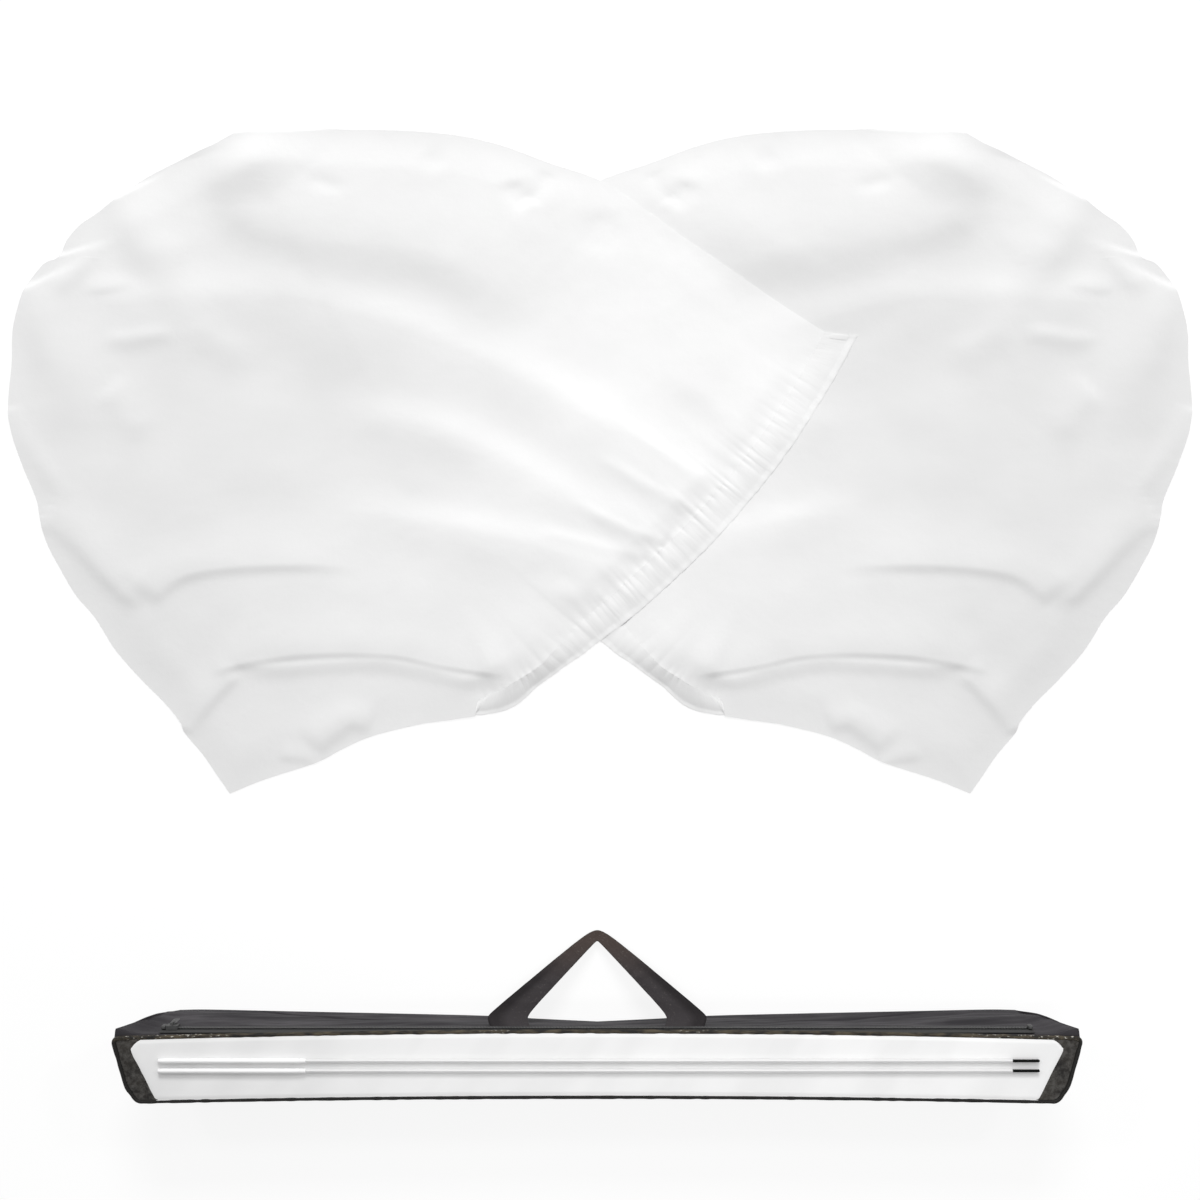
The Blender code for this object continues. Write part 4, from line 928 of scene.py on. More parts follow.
def make_tack(side, sign, word, middle, lies, finish):
    """A bar tack over one end of the casing: a rounded cushion with close thread ridges across it, which
    follows the casing's top."""
    turn = np.linspace(TACK_OPENING, math.pi - TACK_OPENING, TACK_POINTS[0])
    t, a = (x.ravel() for x in grid(turn, full_turn(TACK_POINTS[1])))
    size = np.sin(t) ** TACK_SQUARE
    lengthwise = -signed_power(np.cos(t), TACK_SQUARE) * TACK_HALF[1]
    ridges = 1 + TACK_RIDGE * np.abs(np.sin(lengthwise / TACK_THREAD * math.pi))
    across = signed_power(np.cos(a), TACK_SECTION[0]) * size * TACK_HALF[0] * ridges
    up = signed_power(np.sin(a), TACK_SECTION[1]) * size * TACK_HALF[2] * ridges
    share = middle + across / STITCH_RUN
    out = casing_width(middle) * (0.5 + lengthwise / CASING_WIDTH)
    z = casing_layer(share, out, 1, lies) + CASING_CLOTH / 2 + up
    points = np.column_stack([hem_places(share, out) * (sign, 1), z]).reshape(*TACK_POINTS, 3)
    name = f"{side}_hem_{word}_bartack"
    tack = surface(name, points, None, round_second=True, capped=True, turned=sign < 0)
    return dress(tack, f"{side}_panel", "panel_cloth", finish, f"{side}_hem_{word}_tack")


def make_panels():
    """Both panels, where the right one is pressed and the left one is held up by it."""
    satin, hem, thread, knit = satin_finish(), casing_finish(), thread_finish(), elastic_finish()
    right = panel.height * pressing(panel.places * MIRROR)
    left = panel.height + lap(panel.places)
    inset = TACK_INSET / STITCH_RUN

    def under_left(places):
        return 0.0, 1 - CASING_PRESS * (1 - pressing(places * MIRROR))

    def over_right(places):
        return lap(places), 1.0

    for side, sign, height, lies in (("right", -1, right, under_left), ("left", 1, left, over_right)):
        cloth = make_cloth(side, sign, height, satin)
        casing = make_casing(side, sign, lies, hem)
        band = make_elastic(side, sign, lies, knit)
        row = make_stitches(side, sign, height, thread)
        tacks = [make_tack(side, sign, word, middle, lies, hem)
                 for word, middle in (("upper", inset), ("lower", 1 - inset))]


make_panels()

# Bag

BAG_X = -0.003                  # middle of the bag's length
RIM_Z = 0.0803                  # top of the bag's walls
RIM_HALF = 0.5060               # half length of the rim on the north side
RIM_TAPER = 0.018               # and how much less it is on the south side
CORNER_CUT = 0.0060             # its southern corners lose this much of that half length
CORNER_CUT_RUN = 0.24           # in this share of the front's depth
BASE_HALF = 0.459               # half length of the base on the north side
BASE_TAPER = 0.004              # and how much less it is on the south side
RIM_NORTH = -0.4551             # the zip side's place at the rim
# and at the ground, against the share of the half length
BASE_NORTH = [(0.0, -0.4635), (0.14, -0.4605), (0.27, -0.4572), (0.5, -0.4546), (0.75, -0.4522),
              (0.93, -0.4504), (1.0, -0.4508)]
BASE_SOUTH_END, BASE_SOUTH_MIDDLE = -0.5165, -0.5140
NORTH_LEAN, SOUTH_LEAN = 1.7, 1.4       # powers of the height left by which the long sides lean
END_BULGE = 0.0030              # the zip side swells towards its ends by this
END_BULGE_EASE = (0.7, 0.2)     # in these shares of the half length
CORNER_BULGE = 0.0055           # and the seam at each of its ends stands out by this
CORNER_BULGE_EASE = (0.945, 0.055)
BULGE_TOP = 0.7                 # share of the height where the swelling is past
SEAM_ROLL = 0.985               # share of the wall's height where its edge turns to the piping
SEAM_MARGIN = 0.001             # the walls' edges stand this far outside the front
BAG_CLOTH = 0.0012
WALL_FOOT = 0.0004              # lower edge of the walls
WALL_POINTS = (301, 89)
WALL_CROWDING = 0.9
BACK_Z = 0.0001
BACK_POINTS = (121, 17)
BOARD_INSET = 0.005
BOARD_POINTS = (61, 9)
END_POINTS = (61, 49)
END_PUFF = 0.004                # an end wall is puffed out by this at its middle
END_WAVE, END_WAVE_ACROSS, END_WAVE_UP = 0.0010, 0.018, 0.013   # its dents: height and lengths
# long creases of the walls: height, and lengths along the bag and up
COARSE_WRINKLE = (0.0013, 0.10, 0.016)
FINE_WRINKLE = (0.0005, 0.030, 0.007)
WRINKLE_SLANT = 90              # the fine ones lie aslant by so many waves for each metre up
WRINKLE_SINK = 0.0012           # the walls are set in by this, so that no crease stands out far
WRINKLE_TOP = 0.055             # no crease is higher up than this
WRINKLE_CALM = 0.012            # and they ease to nothing in this height
WALL_CREASE = [(150, 27), (190, 25), (270, 22), (320, 12), (385, -1)]   # millimetres from the middle, and up
CREASE_RISE = (0.175, 0.03)     # it starts this far from the middle
CREASE_FALL = (0.345, 0.04)     # and ends here
CREASE_WIDTH = 0.0016
CREASE_DEPTH = 0.0008
LID_NORTH_END, LID_NORTH_MIDDLE = -0.4600, -0.4529
LID_SOUTH_END, LID_SOUTH_MIDDLE = -0.5234, -0.5182
LID_DEPTH = 0.06                # about, from south to north
LID_TOP = 0.0848
LID_EDGE_DIP = 0.0007
LID_EDGE_RUN = 0.004            # the edge dips in this run
LID_CLOTH = 0.0009
LID_POINTS = (401, 57)
DENT, DENT_ALONG, DENT_ACROSS = 0.00016, 0.07, 0.05     # height and lengths
DENT_SLANT = 0.6
# pale front's half length, against the share of its depth from south to north: its corners are cut
PALE_HALF = [(0.0, 0.4600), (0.05, 0.4640), (0.45, 0.4765), (0.80, 0.4878), (0.88, 0.4868), (0.96, 0.4820),
             (1.0, 0.4775)]
BORDER_MARGIN = 0.0010          # the dark borders reach this far past the rim
BORDER_OVERLAP = 0.001          # and this far under the pale front
BORDER_SET = 0.0004             # they lie this far below its top
BORDER_FALL = 0.0014            # and fall by this towards the piping
BORDER_POINTS = (25, 57)
CRUMPLE, CRUMPLE_ALONG, CRUMPLE_ACROSS = 0.0005, 0.006, 0.011   # height and lengths
PIPING_RADIUS = 0.0022
PIPING_Z = 0.0826
PIPING_SOUTH, PIPING_NORTH = 0.0017, 0.0012     # the cord's middle stands this far outside the front
PIPING_POINTS = (1400, 16)      # along the cord and round it
PIPING_SIDE_POINTS = (240, 40)  # of its outline, along the bag and across it
PIPING_LUMP = 0.10              # share by which its radius changes
PIPING_LUMPS = 260
PIPING_LENGTH, PIPING_GIRTH = 2.2, 0.014        # what its finish counts along it and round it
CORNER_AVERAGE = 9              # points averaged to round the piping's corners
WORN_SIDE = (-0.4625, 0.004)    # the worn stretch is the one north of here
FLECKED_ENDS = (0.37, 0.05)     # pale flecks towards the ends, from here on
FLECKED_FEET = 0.8              # and this share of them
FOOT_PLACE, FOOT_SPREAD = 0.105, 0.018      # about the handle's feet


def bow(s, end, middle):
    """A shallow parabola along the bag's length, from its ends to its middle."""
    return end + (middle - end) * (1 - s * s)


def rim_half(q):
    """Half length of the rim from the south side to the north side, with its southern corners cut."""
    return RIM_HALF - RIM_TAPER * (1 - q) - CORNER_CUT * (1 - smooth_step(q / CORNER_CUT_RUN))


def bag_half(q, t):
    """Half length: q runs from the south side to the north side, t from the ground to the rim."""
    base = BASE_HALF - BASE_TAPER * (1 - q)
    return base + (rim_half(q) - base) * t


def wall_height(t):
    """Straight up from the wall's foot to its rim."""
    return WALL_FOOT + t * (RIM_Z - WALL_FOOT)


def lid_north(s):
    """The front's edge on the zip side."""
    return bow(s, LID_NORTH_END, LID_NORTH_MIDDLE)


def lid_south(s):
    """The front's edge on the hinge side."""
    return bow(s, LID_SOUTH_END, LID_SOUTH_MIDDLE)


def north_side(s, t):
    """The wall falls outwards to the ground by a power of the height left, and its edge turns to the
    piping."""
    share, place = smooth_line(BASE_NORTH).T
    base = np.interp(np.abs(s), share, place)
    roll = smooth_step((t - SEAM_ROLL) / (1 - SEAM_ROLL))
    height = np.clip(t / BULGE_TOP, 0, 1)
    bulge = END_BULGE * eased(np.abs(s), *END_BULGE_EASE) * np.sin(np.pi * height)
    corner = CORNER_BULGE * eased(np.abs(s), *CORNER_BULGE_EASE) * smooth_step(height) * (1 - roll)
    leaning = RIM_NORTH + (base - RIM_NORTH) * (1 - t) ** NORTH_LEAN + bulge + corner
    return leaning + (lid_north(s) + SEAM_MARGIN - RIM_NORTH) * roll


def south_side(s, t):
    """The hinge side leans out to the rim, by a power of the height left."""
    base = bow(s, BASE_SOUTH_END, BASE_SOUTH_MIDDLE)
    rim = lid_south(s) - SEAM_MARGIN
    return rim + (base - rim) * (1 - t) ** SOUTH_LEAN


def wrinkles(x, z, seed):
    """Long creases along a wall: soft hills stretched lengthwise, least near the ground and the zip."""
    calm = smooth_step(z / WRINKLE_CALM) * smooth_step((WRINKLE_TOP - z) / WRINKLE_CALM)
    height, length, rise = COARSE_WRINKLE
    coarse = height * soft_waves(x / length, z / rise, seed)
    height, length, rise = FINE_WRINKLE
    fine = height * soft_waves(x / length + WRINKLE_SLANT * z, z / rise, seed + 1)
    return calm * (coarse + fine - WRINKLE_SINK)


def crease(x, z):
    """A thin crease that climbs each half of the zip side from the ground: a bell curve across its line."""
    aside = np.abs(x - BAG_X)
    line = np.interp(aside, *(np.array(WALL_CREASE) * MM).T)
    ends = eased(aside, *CREASE_RISE) * (1 - eased(aside, *CREASE_FALL))
    return ends * np.exp(-(((z - line) / CREASE_WIDTH) ** 2))


def make_wall(name, side):
    """The long walls: a grid along the bag and up its height."""
    s, t = grid(np.linspace(-1, 1, WALL_POINTS[0]), np.linspace(0, 1, WALL_POINTS[1]) ** WALL_CROWDING)
    north = side == "north"
    x = BAG_X + s * bag_half(1.0 if north else 0.0, t)
    z = wall_height(t)
    if north:
        y = north_side(s, t) + wrinkles(x, z, SEED["zip_side"])
    else:
        y = south_side(s, t) - wrinkles(x, z, SEED["hinge_side"])
    crease_and_painted_shade = crease(x, z) * north
    points = np.stack([x, y - CREASE_DEPTH * crease_and_painted_shade, z], axis=-1)
    wall = sheet(name, points, np.stack([x, z], axis=-1), BAG_CLOTH, turned=north)
    # painted shade: the crease's line is kept for the finish, which darkens the cloth along it
    tag(wall, "crease", np.concatenate([crease_and_painted_shade.ravel(), crease_and_painted_shade.ravel()]))
    return wall


def make_end(name, sign):
    """An end wall: a grid across the bag and up its height, a little puffed out at its middle."""
    q, t = grid(np.linspace(0, 1, END_POINTS[0]), np.linspace(0, 1, END_POINTS[1]))
    y = south_side(1.0, t) + (north_side(1.0, t) - south_side(1.0, t)) * q
    z = wall_height(t)
    dents = END_WAVE * soft_waves(y / END_WAVE_ACROSS, z / END_WAVE_UP, SEED["ends"])
    puff = (END_PUFF * np.sin(np.pi * q) + dents) * np.sin(np.pi * t)
    x = BAG_X + sign * (bag_half(q, t) + puff)
    points = np.stack([x, y, z], axis=-1)
    return sheet(name, points, np.stack([y, z], axis=-1), BAG_CLOTH, turned=sign < 0)


def make_back(name):
    """The flat underside."""
    s, q = grid(np.linspace(-1, 1, BACK_POINTS[0]), np.linspace(0, 1, BACK_POINTS[1]))
    x = BAG_X + s * bag_half(q, 0 * q)
    y = south_side(s, 0 * s) + (north_side(s, 0 * s) - south_side(s, 0 * s)) * q
    points = np.stack([x, y, 0 * x + BACK_Z], axis=-1)
    return sheet(name, points, points[..., :2], BAG_CLOTH, turned=True)


def make_back_board(name):
    """The stiffening board on the back: the underside's outline, set in all round."""
    low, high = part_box("bag_back_board")
    s, q = grid(np.linspace(-1, 1, BOARD_POINTS[0]), np.linspace(0, 1, BOARD_POINTS[1]))
    x = BAG_X + s * (bag_half(q, 0 * q) - BOARD_INSET)
    south, north = south_side(s, 0 * s) + BOARD_INSET, north_side(s, 0 * s) - BOARD_INSET
    points = np.stack([x, south + (north - south) * q, 0 * x + high.z], axis=-1)
    return sheet(name, points, points[..., :2], high.z - low.z)


def pale_half(r):
    """Half length of the pale front, with its northern corners cut."""
    return np.interp(r, *smooth_line(PALE_HALF).T)


def border_half(r):
    """Half length of the front with its dark borders."""
    return rim_half(r) + BORDER_MARGIN


def lid_height(x, y, edge):
    """The front lies flat, with very low dents, and dips at its edge."""
    dents = DENT * soft_waves((x + DENT_SLANT * y) / DENT_ALONG, y / DENT_ACROSS, SEED["front"])
    return LID_TOP + dents - LID_EDGE_DIP * (1 - smooth_step(edge / LID_EDGE_RUN))


def make_front(name):
    """The pale front: a grid along the bag and across it."""
    s, r = grid(np.linspace(-1, 1, LID_POINTS[0]), np.linspace(0, 1, LID_POINTS[1]))
    half = pale_half(r)
    x = BAG_X + s * half
    y = lid_south(s) + (lid_north(s) - lid_south(s)) * r
    edge = np.minimum((1 - np.abs(s)) * half, LID_DEPTH * np.minimum(r, 1 - r))
    points = np.stack([x, y, lid_height(x, y, edge)], axis=-1)
    return sheet(name, points, points[..., :2], LID_CLOTH)


def make_border(name, sign):
    """A dark end of the front: a grid from the pale front out to the piping, crumpled a little."""
    k, r = grid(np.linspace(0, 1, BORDER_POINTS[0]), np.linspace(0, 1, BORDER_POINTS[1]))
    inner, outer = pale_half(r) - BORDER_OVERLAP, border_half(r)
    aside = sign * (inner + (outer - inner) * k)
    x, s = BAG_X + aside, aside / RIM_HALF
    y = lid_south(s) + (lid_north(s) - lid_south(s)) * r
    crumple = CRUMPLE * soft_waves(x / CRUMPLE_ALONG, y / CRUMPLE_ACROSS, SEED["border"])
    z = LID_TOP - BORDER_SET - BORDER_FALL * smooth_step(k) + crumple * np.sqrt(np.sin(np.pi * k))
    points = np.stack([x, y, z], axis=-1)
    return sheet(name, points, points[..., :2], LID_CLOTH, turned=sign < 0)


def closed_tangents(line):
    """Unit tangents of a closed line: at each point, from the one before to the one after."""
    step = np.roll(line, -1, axis=0) - np.roll(line, 1, axis=0)
    return step / np.linalg.norm(step, axis=1)[:, None]


def piping_line():
    """The front's outline, set out by the cord's offsets, whose corners a moving average rounds."""
    s = np.linspace(-1, 1, PIPING_SIDE_POINTS[0])
    south = np.stack([BAG_X + s * border_half(0.0), lid_south(s) - PIPING_SOUTH], axis=1)
    north = np.stack([BAG_X - s * border_half(1.0), lid_north(s) + PIPING_NORTH], axis=1)
    r = np.linspace(0, 1, PIPING_SIDE_POINTS[1])[1:-1]
    y = lid_south(1.0) + (lid_north(1.0) - lid_south(1.0)) * r
    right = np.stack([BAG_X + border_half(r), y], axis=1)
    left = np.stack([BAG_X - border_half(r), y], axis=1)[::-1]
    ring = np.vstack([south, right, north, left, south[:1]])
    line = even_line(ring, PIPING_POINTS[0] + 1)[:-1]
    reach = range(-(CORNER_AVERAGE // 2), CORNER_AVERAGE // 2 + 1)
    return sum(np.roll(line, k, axis=0) for k in reach) / CORNER_AVERAGE


def make_piping(name):
    """A cord round the front: a circle carried along its line. Each point keeps its wear and pale flecks."""
    line, around = piping_line(), full_turn(PIPING_POINTS[1])
    tangent = closed_tangents(line)
    outward = np.stack([tangent[:, 1], -tangent[:, 0]], axis=1)
    run = np.arange(len(line)) / len(line)
    lumps = 1 + PIPING_LUMP * soft_waves(run * PIPING_LUMPS, 0 * run, SEED["piping"])
    radius = (PIPING_RADIUS * lumps)[:, None]
    flat = line[:, None] + (radius * np.cos(around))[..., None] * outward[:, None]
    z = PIPING_Z + radius * np.sin(around)
    uv = grid_uv(np.linspace(0, PIPING_LENGTH, len(line) + 1), np.linspace(0, PIPING_GIRTH, len(around) + 1))
    cord = surface(name, np.concatenate([flat, z[..., None]], axis=-1), uv, True, True)
    on_north = eased(line[:, 1], *WORN_SIDE)
    tag(cord, "north", np.repeat(on_north, len(around)))
    aside = np.abs(line[:, 0] - BAG_X)
    at_feet = FLECKED_FEET * np.exp(-(((aside - FOOT_PLACE) / FOOT_SPREAD) ** 2))
    pale_flecks = on_north * np.maximum(eased(aside, *FLECKED_ENDS), at_feet)
    tag(cord, "pale_flecks", np.repeat(pale_flecks, len(around)))
    return cord


# Handle

HINGE_Y, HINGE_Z = -0.4485, 0.0340
WALL_LEAN = math.radians(-73.7)
LIE_ANGLE = math.radians(-19.4)
PROFILE_SPAN = (-0.03, 0.11)    # the strap's line, counted from the hinge
PROFILE_POINTS = 1401
HINGE_BEND = (-0.012, 0.024)    # it bends at the hinge, from here on and in this run
STRAP_FOOT = -0.0213            # end of the strap up the wall, counted from the hinge
STRAP_THICKNESS = 0.0024
STRAP_POINTS = (241, 44)        # along the strap and round it
STRAP_CROWDING = 1.3            # power that draws the faces towards the top
STRAP_SQUARE = 0.35             # power that squares its section
STRAP_PUCKER = 0.0007
PUCKERS_ALONG, PUCKERS_ACROSS = 22, 2.5     # hills in half the strap's length, and in its width
PUCKER_REACH = 0.02             # they grow in this reach from the hinge
STRAP_FLOOR = 0.0003            # no point is lower than this
STRAP_LENGTH, STRAP_GIRTH = 0.31, 0.09      # what its finish counts along it and round it
OUTER_FOOT, INNER_FOOT = 0.1205, 0.0775     # at the hinge
OUTER_REACH, INNER_REACH = 0.0918, 0.0800
OUTER_ROUND, INNER_ROUND = 0.0080, 0.0015
FOOT_BEND = 0.005               # the legs turn up the wall in about this run
FOOT_INWARD = 1.30              # and then draw together a little
WORN_TOP = (0.03, 0.06)         # reach from which the strap is worn
SHADED_LEGS = (0.035, 0.035)      # painted shade: its outer side is darker up to this reach
SIDE_SHADE, SIDE_SHADE_EASE = 0.8, (0.70, 0.06)   # by this share, from here across it
RIM_SHADE, RIM_SHADE_EASE = 0.5, (0.94, 0.05)     # and its rim all round by this one, all of it painted shade


def strap_profile():
    """The strap's line in the y-z plane: down the wall, round the bend at the hinge and out, from the angle's
    running sum."""
    run = np.linspace(*PROFILE_SPAN, PROFILE_POINTS)
    angle = WALL_LEAN + (LIE_ANGLE - WALL_LEAN) * eased(run, *HINGE_BEND)
    step = run[1] - run[0]
    y, z = np.cumsum(np.cos(angle)) * step, np.cumsum(np.sin(angle)) * step
    at = np.searchsorted(run, 0.0)
    return run, y - y[at] + HINGE_Y, z - z[at] + HINGE_Z, angle


def edge_line(p, reach, foot, rounding):
    """A strap edge's place along the bag, and its reach: two straight legs that meet in a hyperbola at the
    top. Past the hinge the reach goes on up the wall, and the place stays nearly the same."""
    slope = math.sqrt((reach + rounding) ** 2 - rounding**2) / foot
    far = p * (foot - STRAP_FOOT / slope)
    past = np.abs(far) - foot
    held = (past + np.sqrt(past**2 + FOOT_BEND**2)) / 2
    place = far - np.sign(far) * FOOT_INWARD * held
    return place, reach + rounding - np.sqrt(rounding**2 + (slope * far) ** 2)


def make_strap(name):
    """One band from foot to foot: ruled between its outer and inner edge lines, with rounded edges and a soft
    pucker, carried by the profile."""
    run, line_y, line_z, line_angle = strap_profile()
    lengthwise = signed_power(np.linspace(-1, 1, STRAP_POINTS[0]), STRAP_CROWDING)
    p, a = grid(lengthwise, full_turn(STRAP_POINTS[1]))
    across = (1 + signed_power(np.cos(a), STRAP_SQUARE)) / 2
    up = signed_power(np.sin(a), STRAP_SQUARE)
    outer_x, outer = edge_line(p, OUTER_REACH, OUTER_FOOT, OUTER_ROUND)
    inner_x, inner = edge_line(p, INNER_REACH, INNER_FOOT, INNER_ROUND)
    x = inner_x + (outer_x - inner_x) * across
    reach = inner + (outer - inner) * across
    hills = soft_waves(p * PUCKERS_ALONG, across * PUCKERS_ACROSS, SEED["strap"])
    lift = STRAP_THICKNESS / 2 * up + STRAP_PUCKER * hills * smooth_step(reach / PUCKER_REACH)
    y, z, angle = (np.interp(reach, run, column) for column in (line_y, line_z, line_angle))
    points = np.stack([BAG_X + x, y - np.sin(angle) * lift, z + np.cos(angle) * lift], axis=-1)
    points[..., 2] = np.maximum(points[..., 2], STRAP_FLOOR)
    uv = grid_uv(np.linspace(0, STRAP_LENGTH, STRAP_POINTS[0]),
                 np.linspace(0, STRAP_GIRTH, STRAP_POINTS[1] + 1))
    strap = surface(name, points, uv, round_second=True, capped=True, turned=True)
    tag(strap, "apex", eased(reach, *WORN_TOP))
    # painted shade along the legs' outer side and the rim, which the finish darkens
    legs = SIDE_SHADE * (1 - eased(reach, *SHADED_LEGS)) * eased(across, *SIDE_SHADE_EASE)
    tag(strap, "edge", legs + RIM_SHADE * eased(across, *RIM_SHADE_EASE))
    return strap


# Zip

TAPE_POINTS = (241, 32)         # along the tape and round it
TAPE_SQUARE = (0.25, 0.4)       # powers that square its section, up and out
TAPE_GIRTH = 0.05               # what its finish counts round it
TOOTH_PITCH = 0.0032            # of the teeth on one half
TOOTH_POINTS = (5, 8)
TOOTH_SET = 0.22                # its middle stands off the zip's by this share of the chain's half width
TOOTH_LEAN = 0.12
TOOTH_SIZE = (0.72, 0.27, 0.95)     # shares of the half width, the pitch and the half thickness
TOOTH_SQUARE = 0.5
BLOCK_SQUARE = 0.5              # power that squares the zip's stops
BLOCK_POINTS = (18, 28)
BLOCK_OPENING = 0.04            # turn at which their ends are closed
PULL_POINTS = (96, 16)          # round the slot and round the section
PULL_SQUARE, PULL_SECTION = 0.5, 0.6        # powers that square its outlines and its section
PULL_AXIS_DROP = 0.0006         # from the pull's upper edge to the middle of its bar
PULL_BAR = 0.0010               # width of the bar and thickness of the tab, which clear the slider's bail
PULL_SLOT_LENGTH, PULL_SLOT_WIDTH = 0.0053, 0.0034


def make_tape(name):
    """A woven tape on the wall: a flat rounded strip, closed round."""
    low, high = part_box("zip_tape")
    x, a = grid(np.linspace(low.x, high.x, TAPE_POINTS[0]), full_turn(TAPE_POINTS[1]))
    middle, half = (low + high) / 2, (high - low) / 2
    z = middle.z + half.z * signed_power(np.sin(a), TAPE_SQUARE[0])
    y = middle.y + half.y * signed_power(np.cos(a), TAPE_SQUARE[1])
    length = np.linspace(0, high.x - low.x, TAPE_POINTS[0])
    uv = grid_uv(length, np.linspace(0, TAPE_GIRTH, TAPE_POINTS[1] + 1))
    return surface(name, np.stack([x, y, z], axis=-1), uv, round_second=True, capped=True, turned=True)


def make_teeth(name):
    """Coil teeth on both halves of the zip, each a small rounded bar that leans over its neighbour."""
    low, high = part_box("zip_chain")
    count = int((high.x - low.x) / TOOTH_PITCH) * 2
    x = low.x + (np.arange(count) + 0.5) * TOOTH_PITCH / 2
    upper = np.where(np.arange(count) % 2 == 0, 1.0, -1.0)
    middle, half = (low + high) / 2, (high - low) / 2
    centres = np.stack([x, 0 * x + middle.y, middle.z + upper * half.z * TOOTH_SET], axis=1)
    zero, one = 0 * x, 0 * x + 1
    axes = np.stack([np.stack([TOOTH_LEAN * upper, zero, one], axis=1),
                     np.stack([one, zero, zero], axis=1),
                     np.stack([zero, one, zero], axis=1)], axis=1)
    size = np.multiply(TOOTH_SIZE, (half.z, TOOTH_PITCH, half.y))
    template, faces = bead(*TOOTH_POINTS, *size, TOOTH_SQUARE)
    return repeated(name, template, faces, centres, axes)


def rounded_block(name, low, high):
    """A cushion that fills a box: a superellipsoid, whose sines and cosines are raised to a power below
    one."""
    steps = np.linspace(BLOCK_OPENING, math.pi - BLOCK_OPENING, BLOCK_POINTS[0])
    turn, around = grid(steps, full_turn(BLOCK_POINTS[1]))
    size = np.sin(turn) ** BLOCK_SQUARE
    shape = np.stack([-signed_power(np.cos(turn), BLOCK_SQUARE),
                      size * signed_power(np.cos(around), BLOCK_SQUARE),
                      size * signed_power(np.sin(around), BLOCK_SQUARE)], axis=-1)
    points = np.array((low + high) / 2) + shape * np.array((high - low) / 2)
    return surface(name, points, None, round_second=True, capped=True, turned=True)


def make_pull(name):
    """A flat tab with a slot: a ring whose flattened section reaches from the slot's outline to the tab's.
    Both outlines are superellipses, whose sines and cosines are raised to a power below one."""
    low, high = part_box("zip_pull")
    middle = (low + high) / 2
    turn, around = grid(full_turn(PULL_POINTS[0]), full_turn(PULL_POINTS[1]))
    across = signed_power(np.sin(turn), PULL_SQUARE)
    upward = signed_power(np.cos(turn), PULL_SQUARE)
    bar_top = high.z - PULL_AXIS_DROP + PULL_BAR / 2
    slot_top = bar_top - PULL_BAR
    tab_x, tab_z = across * (high.x - low.x) / 2, (bar_top + low.z) / 2 + upward * (bar_top - low.z) / 2
    slot_x, slot_z = across * PULL_SLOT_WIDTH / 2, slot_top + (upward - 1) * PULL_SLOT_LENGTH / 2
    share = (1 + signed_power(np.cos(around), PULL_SECTION)) / 2
    x = middle.x + slot_x + (tab_x - slot_x) * share
    y = middle.y + signed_power(np.sin(around), PULL_SECTION) * PULL_BAR / 2
    z = slot_z + (tab_z - slot_z) * share
    return surface(name, np.stack([x, y, z], axis=-1), None, True, True)


# Poles

POLE_SIDES = 48
PROFILE_STEP, POLE_GIRTH = 0.002, 0.015     # what the finish counts from point to point and round a pole
GRIP_BORE, ROD_BORE, NOSE_BORE = 0.00205, 0.00085, 0.00145      # radii
GRIP_RIM, ROD_RIM = 0.0003, 0.0002          # size of the tubes' rounded rims
RIM_MIDDLE = 0.3                # share of that size by which the middle of the round stands in
EDGE = 0.0002                   # bevel of the small edges
PEG_RADIUS, PEG_LENGTH = 0.0006, 0.012      # pegs of the tip and the stop, inside the rod
SHANK_RADIUS, SHANK_LENGTH = 0.0018, 0.006  # what the nose reaches into the grip
NOSE_EDGE = 0.0003
NOSE_SHARES = (0.93, 0.83, 0.77)            # the nose's radius at its middle, near its end and at its end
PLUG_FACE = ((0, 0.55), (0.0002, 0.80), (0.0007, 0.97))     # from the plug's end on, and share of radius
PLUG_HEAD = 0.0020
PLUG_RADIUS, PLUG_END, PLUG_EDGE = 0.00203, 0.0017, 0.0003  # what the plug reaches into the grip
STOP_LENGTH = 0.005
TIP_MIDDLE = 0.7                # share of the tip's length
TIP_FACE = ((0.0012, 1.0), (0.0005, 0.9), (0.0001, 0.6), (0, 0.3))  # from its end back, and share of radius


def turned_piece(name, node_name, profile, round_profile=True):
    """A shape turned about a pole's axis: the profile lists places along the node's box and radii."""
    low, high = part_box(node_name)
    middle = (low + high) / 2
    profile = np.asarray(profile, float)
    around = full_turn(POLE_SIDES)
    x = (low.x + profile[:, :1]) + 0 * around[None]
    y = middle.y + profile[:, 1:] * np.cos(around)[None]
    z = middle.z + profile[:, 1:] * np.sin(around)[None]
    lengthwise = np.arange(len(profile) + round_profile) * PROFILE_STEP
    uv = grid_uv(lengthwise, np.linspace(0, POLE_GIRTH, POLE_SIDES + 1))
    points = np.stack([x, y, z], axis=-1)
    made = surface(name, points, uv, round_profile, True, not round_profile, turned=True)
    made.data.set_sharp_from_angle(angle=math.radians(SHARP_TURN))
    return made


def length_and_radius(node_name):
    """A pole piece's size, from its solid's box."""
    low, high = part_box(node_name)
    return high.x - low.x, (high.y - low.y) / 2


def tube_profile(node_name, bore, rim):
    """A tube with rounded rims."""
    long, radius = length_and_radius(node_name)
    turn = rim * RIM_MIDDLE
    return [(0, bore), (0, radius - rim), (turn, radius - turn), (rim, radius), (long * 0.5, radius),
            (long - rim, radius), (long - turn, radius - turn), (long, radius - rim), (long, bore),
            (long * 0.5, bore)]


